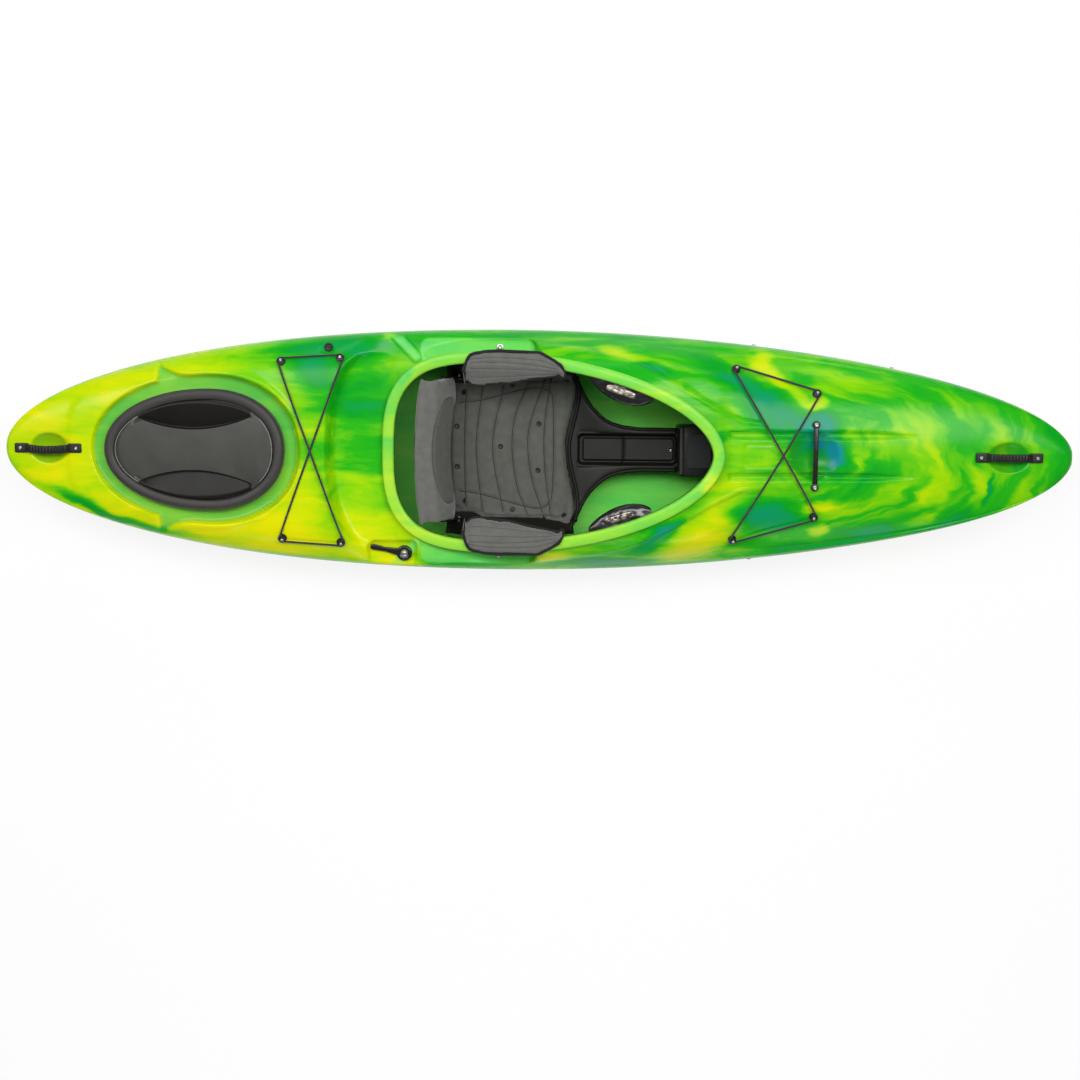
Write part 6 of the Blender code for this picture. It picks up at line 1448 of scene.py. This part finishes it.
def curve(corners, count=60):
    """A smooth line through a few flat points."""
    a = np.asarray(corners, float)
    ends = np.concatenate([[2 * a[0] - a[1]], a, [2 * a[-1] - a[-2]]])
    t = np.linspace(0, len(a) - 1 - 1e-6, count)
    i, f = t.astype(int), (t % 1)[:, None]
    p0, p1, p2, p3 = ends[i], ends[i + 1], ends[i + 2], ends[i + 3]
    return (2 * p1 + (p2 - p0) * f + (2 * p0 - 5 * p1 + 4 * p2 - p3) * f ** 2
            + (3 * p1 - p0 - 3 * p2 + p3) * f ** 3) / 2


def sewn(made, lines, axes, toward, depth, width, body, size=0.0016):
    """Presses seams into a cushion and lays their thread; axes are the plane, toward the way to look."""
    look = np.asarray(toward, float)
    facing = coordinates(made.data, "normal") @ look < -0.15
    places = coordinates(made.data)
    flat = places[:, axes]
    push = np.zeros(len(places))
    for line in lines:
        push = np.maximum(push, np.exp(-(to_line(flat, line) / width) ** 2))
    places[facing] += look * (depth * push[facing])[:, None]
    move_to(made.data, places)
    graph = bpy.context.evaluated_depsgraph_get()
    tree = BVHTree.FromObject(made, graph)
    for number, line in enumerate(lines):
        path = []
        for spot in line:
            start = np.zeros(3)
            start[list(axes)] = spot
            start = start * (1 - np.abs(look)) - look * 2
            hit = tree.ray_cast(Vector(start), Vector(look))[0]
            if hit is not None:
                path.append(np.array(hit) + look * 0.0004)
        if len(path) > 3:
            run = swept(f"{made.name}_thread_{number + 1}", path, size, size, thread, body, side=toward, sides=6)


# %% Seat cushion
rows, columns = 64, 72
share = np.linspace(0, 1, rows)[:, None]
side = np.sin(np.linspace(-1, 1, columns) * math.pi / 2)[None, :]
fore = pad_front(0.213 * side)
pad_x = -0.278 + (fore + 0.278) * share + 0 * side
pad_half = 0.199 + 0.014 * ease(pad_x, -0.200, -0.160) + 0.014 * ease(pad_x, 0.0, 0.09)
pad_y = pad_half * side * (1 - 0.03 * (2 * share - 1) ** 6)
edge = np.maximum(0, 1 - np.abs(side) ** 7) ** 0.5 * np.maximum(0, 1 - np.abs(2 * share - 1) ** 30) ** 0.5
under = pan_z(pad_x, pad_y) + 0.0012
over = under + 0.004 + 0.017 * edge
rings = np.concatenate([np.stack([pad_x, pad_y, over], 2), np.stack([pad_x, pad_y, under], 2)[:, ::-1]], 1)
cushion = ring_net("seat_cushion", rings, woven, closed=False)
stuffed(cushion, 3.5, 0.006, 0.005, lambda x, y: pan_z(x, y) + 0.0008)
seams = [[(-0.2150, 0.176), (-0.2200, 0.005), (-0.2150, -0.176)],
         [(-0.1650, 0.190), (-0.1850, 0.005), (-0.1650, -0.190)],
         [(-0.1030, 0.190), (-0.1357, 0.005), (-0.1030, -0.190)],
         [(-0.0290, 0.200), (-0.0680, 0.100), (-0.0780, 0.005), (-0.0630, -0.110), (-0.0290, -0.200)],
         [(0.0192, 0.210), (-0.0230, 0.080), (-0.0310, 0.005), (-0.0180, -0.090), (0.0192, -0.205)],
         [(0.0362, 0.212), (0.0200, 0.090), (0.0170, 0.005), (0.0230, -0.085), (0.0393, -0.200)]]
border = [(-0.2350, 0.1340), (-0.1635, 0.1430), (-0.0720, 0.1690), (-0.0077, 0.1810), (0.0332, 0.1680),
          (0.0430, 0.1300), (0.0455, 0.0050), (0.0430, -0.1240), (0.0310, -0.1640), (-0.0042, -0.1780),
          (-0.0760, -0.1640), (-0.1700, -0.1390), (-0.2350, -0.1290)]
lines = [curve(seam) for seam in seams] + [curve(border, 160)]
sewn(cushion, lines, (0, 1), (0, 0, -1), 0.0052, 0.0048, "boat", size=0.0028)
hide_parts("seat_pad")
print("seat cushion faces:", len(cushion.data.polygons))

# %% Snaps that hold the cushion
tree = BVHTree.FromObject(cushion, bpy.context.evaluated_depsgraph_get())
snap = soften([(0.0, 0.0014), (0.0040, 0.0012), (0.0062, 0.0024), (0.0082, 0.0008), (0.0082, -0.0014),
               (0.0, -0.0014)], 0.0008, 3)
for number, (x, y) in enumerate([(-0.0776, 0.188), (-0.2220, 0.1650), (-0.2420, 0.0640), (-0.2400, -0.0560),
                                 (-0.1116, 0.0050), (0.0015, 0.0740), (0.0002, -0.0640), (-0.2180, -0.1580),
                                 (-0.0747, -0.1820), (0.0790, -0.1960), (0.0820, 0.2020)]):
    hit, normal = tree.ray_cast(Vector((x, y, 1.0)), Vector((0, 0, -1)))[:2]
    if hit is not None:
        spot = np.array(hit) - np.array(normal) * 0.0006
        made = turned(f"pad_snap_{number + 1}", snap, spot, normal, nylon, sides=18)
print("snaps:", number + 1)

# %% [markdown]
# ## Back band
#
# The back band is a curved pad on a moulded shell that tips with it. Its front has a long oval of
# embossed knit, sewn round its edge, and a straight seam runs below it. It is stuffed fuller than the
# seat, and rides on the backrest.

# %% Back band cushion
def back_x(y, z):
    """The face of the backrest shell that the pad lies on."""
    face = -0.298 - (z - 0.135) * 0.34 + 0.030 * (np.asarray(y) / 0.195) ** 2 + 0.0058
    return face - (0.019 + 0.012 * (np.asarray(y) / 0.2) ** 2) * ease(z, 0.2980, 0.3045)


side = np.sin(np.linspace(-1, 1, 64) * math.pi / 2)
rings = []
for s in side:
    swell = max(0.0, 1 - abs(s) ** 6) ** 0.5
    turn = np.linspace(0, 2 * math.pi, 40, endpoint=False)
    up, out = powered(np.sin(turn), 0.75), powered(np.cos(turn), 0.80)
    high = 0.2235 + np.where(up > 0, up * 0.0925, up * (0.060 + 0.024 * swell))
    thick = 0.025 + 0.019 * swell
    bulge = 0.008 * abs(s) ** 9 * np.maximum(0, 1 - (np.cos(turn) * 1.02) ** 2)
    y = 0.2040 * s + np.sign(s) * bulge
    lean = back_x(y, high) + 0.0016 + thick * (0.5 + 0.5 * out)
    rings.append(np.stack([lean, y, high], 1))
band = ring_net("back_band_cushion", rings, knit, "backrest", closed=False)
stuffed(band, 3.5, 0.006)
places = coordinates(band.data)
places[:, 0] = np.maximum(places[:, 0], back_x(places[:, 1], places[:, 2]))
move_to(band.data, places)
turn = np.linspace(0, 2 * math.pi, 90)
oval = np.stack([0.154 * powered(np.cos(turn), 0.8), 0.223 + 0.069 * powered(np.sin(turn), 0.8)], 1)
low_line = np.stack([np.linspace(-0.172, 0.172, 60), np.full(60, 0.156)], 1)
sewn(band, [oval, low_line], (1, 2), (-1, 0, 0), 0.0045, 0.0045, "backrest", size=0.0020)
band.data.materials.append(pebbled)
flat_faces = np.array([f.center[:] for f in band.data.polygons])
norm = np.array([f.normal[:] for f in band.data.polygons])
inside_oval = np.abs(flat_faces[:, 1] / 0.154) ** 2.5 + np.abs((flat_faces[:, 2] - 0.223) / 0.069) ** 2.5 < 1
inside_oval &= norm[:, 0] > 0
band.data.polygons.foreach_set("material_index", inside_oval.astype(np.int32))
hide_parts("backband_pad")
print("back band faces:", len(band.data.polygons))

# %% [markdown]
# ## Hip pads
#
# A padded wing folds over the coaming on each side of the paddler's hips. It lies flat on the lip,
# bends over its inner corner and hangs down inside. Four long quilting lines run along it, and a
# black binding tape closes its edge, thickest on the outer and aft side.

# %% Hip pads with quilting and binding
def hip_section(share, side_of):
    """The middle line of a hip pad's section at one place, from outside to the hanging edge."""
    x = -0.213 + 0.286 * share
    half, high = at(mouth_half, x), at(rim_z, x)
    ends = max(0.0, 1 - abs(2 * share - 1) ** 3.2) ** 0.5
    out = float(np.interp(x, [-0.213, -0.209, -0.200, -0.187, -0.150, -0.111, 0.003, 0.042, 0.062, 0.073],
                          [0.232, 0.252, 0.268, 0.279, 0.286, 0.2880, 0.284, 0.263, 0.248, 0.234]))
    reach = float(np.interp(x, [-0.213, -0.190, -0.160, -0.080, 0.005, 0.050, 0.073],
                            [0.038, 0.058, 0.062, 0.052, 0.030, 0.017, 0.010]))
    half = min(half, out - 0.008)
    drop = min(0.046, reach * 0.9)
    corners = [(out, high + 0.0072), (half + 0.35 * (out - half), high + 0.0092), (half - 0.004, high + 0.0060),
               (half - 0.5 * reach - 0.004, high - 0.35 * drop), (half - reach, high - drop + 0.004)]
    line = curve(corners, 26)
    return x, np.stack([side_of * line[:, 0], line[:, 1]], 1), ends


for word, side_of in (("left", 1), ("right", -1)):
    rings, rim_out, rim_in = [], [], []
    for share in np.linspace(0, 1, 60):
        x, line, ends = hip_section(share, side_of)
        step = np.gradient(line, axis=0)
        out = np.stack([-step[:, 1], step[:, 0]], 1) * -side_of
        out /= np.linalg.norm(out, axis=1)[:, None]
        v = np.linspace(-1, 1, 26)
        thick = 0.0012 + (0.0048 * (0.35 + 0.65 * ends)) * np.maximum(0, 1 - np.abs(v) ** 5) ** 0.5
        over, under = line + out * thick[:, None], line - out * thick[:, None]
        ring = np.concatenate([over, under[::-1]])
        rings.append(np.column_stack([np.full(len(ring), x), ring]))
        rim_out.append((x, *line[0]))
        rim_in.append((x, *line[-1]))
    pad = ring_net("hip_cushion_" + word, rings, knit, closed=False)
    stuffed(pad, 4.0, 0.005, 0.004)
    sections = [hip_section(s, side_of)[:2] for s in np.linspace(0.06, 0.94, 50)]
    lines = [np.array([(x, line[v, 0]) for x, line in sections]) for v in (5, 10, 15, 20)]
    sewn(pad, lines, (0, 1), (0, 0, -1), 0.0026, 0.0032, "boat", size=0.0013)
    edge_path = curve(rim_out[::3] + rim_in[::-3], 200) + [0, 0, 0.0005]
    binding = swept("hip_binding_" + word, edge_path, 0.0130, 0.0098, tape, side=(0, 0, 1), sides=12, closed=True)
    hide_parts("hip_pad_" + word)
print("hip pads done")

# %% [markdown]
# ## Thigh braces
#
# Under the fore part of the coaming a crescent of foam in glossy coated cloth gives each thigh
# something to press on. The gloss over soft lumps is what throws the bright flecks in the picture.

# %% Thigh braces
for word, side_of in (("left", 1), ("right", -1)):
    rings = []
    for share in np.linspace(0, 1, 48):
        x = 0.146 + 0.176 * share
        half, foot = at(mouth_half, x), at(rim_z, x) - RIM_STAND - 0.0075
        reach = 0.052 * max(0.02, math.sin(math.pi * (0.02 + 0.96 * share))) ** 0.6
        profile = soften([(half + 0.016, foot), (half, foot + 0.0010), (half - reach * 0.7, foot - 0.001),
                          (half - reach, foot - 0.009), (half - reach * 0.86, foot - 0.020),
                          (half - reach * 0.4, foot - 0.017), (half + 0.016, foot - 0.016)], 0.008, 5, True)
        rings.append(np.column_stack([np.full(len(profile), x), side_of * profile[:, 0], profile[:, 1]]))
    brace = ring_net("thigh_pad_" + word, rings, vinyl, closed=False)
    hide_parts("thigh_brace_" + word)
    strip_x = np.linspace(0.190, 0.272, 25)
    path = np.stack([strip_x, side_of * (mouth_half(strip_x) - 0.017), rim_z(strip_x) - RIM_STAND - 0.0078], 1)
    taper = np.sqrt(np.maximum(0.05, 1 - ((strip_x - 0.231) / 0.047) ** 4))
    strip = swept("thigh_adjuster_" + word, path, 0.019 * taper, 0.0040, dented, power=4.0, sides=24)
print("thigh braces done")
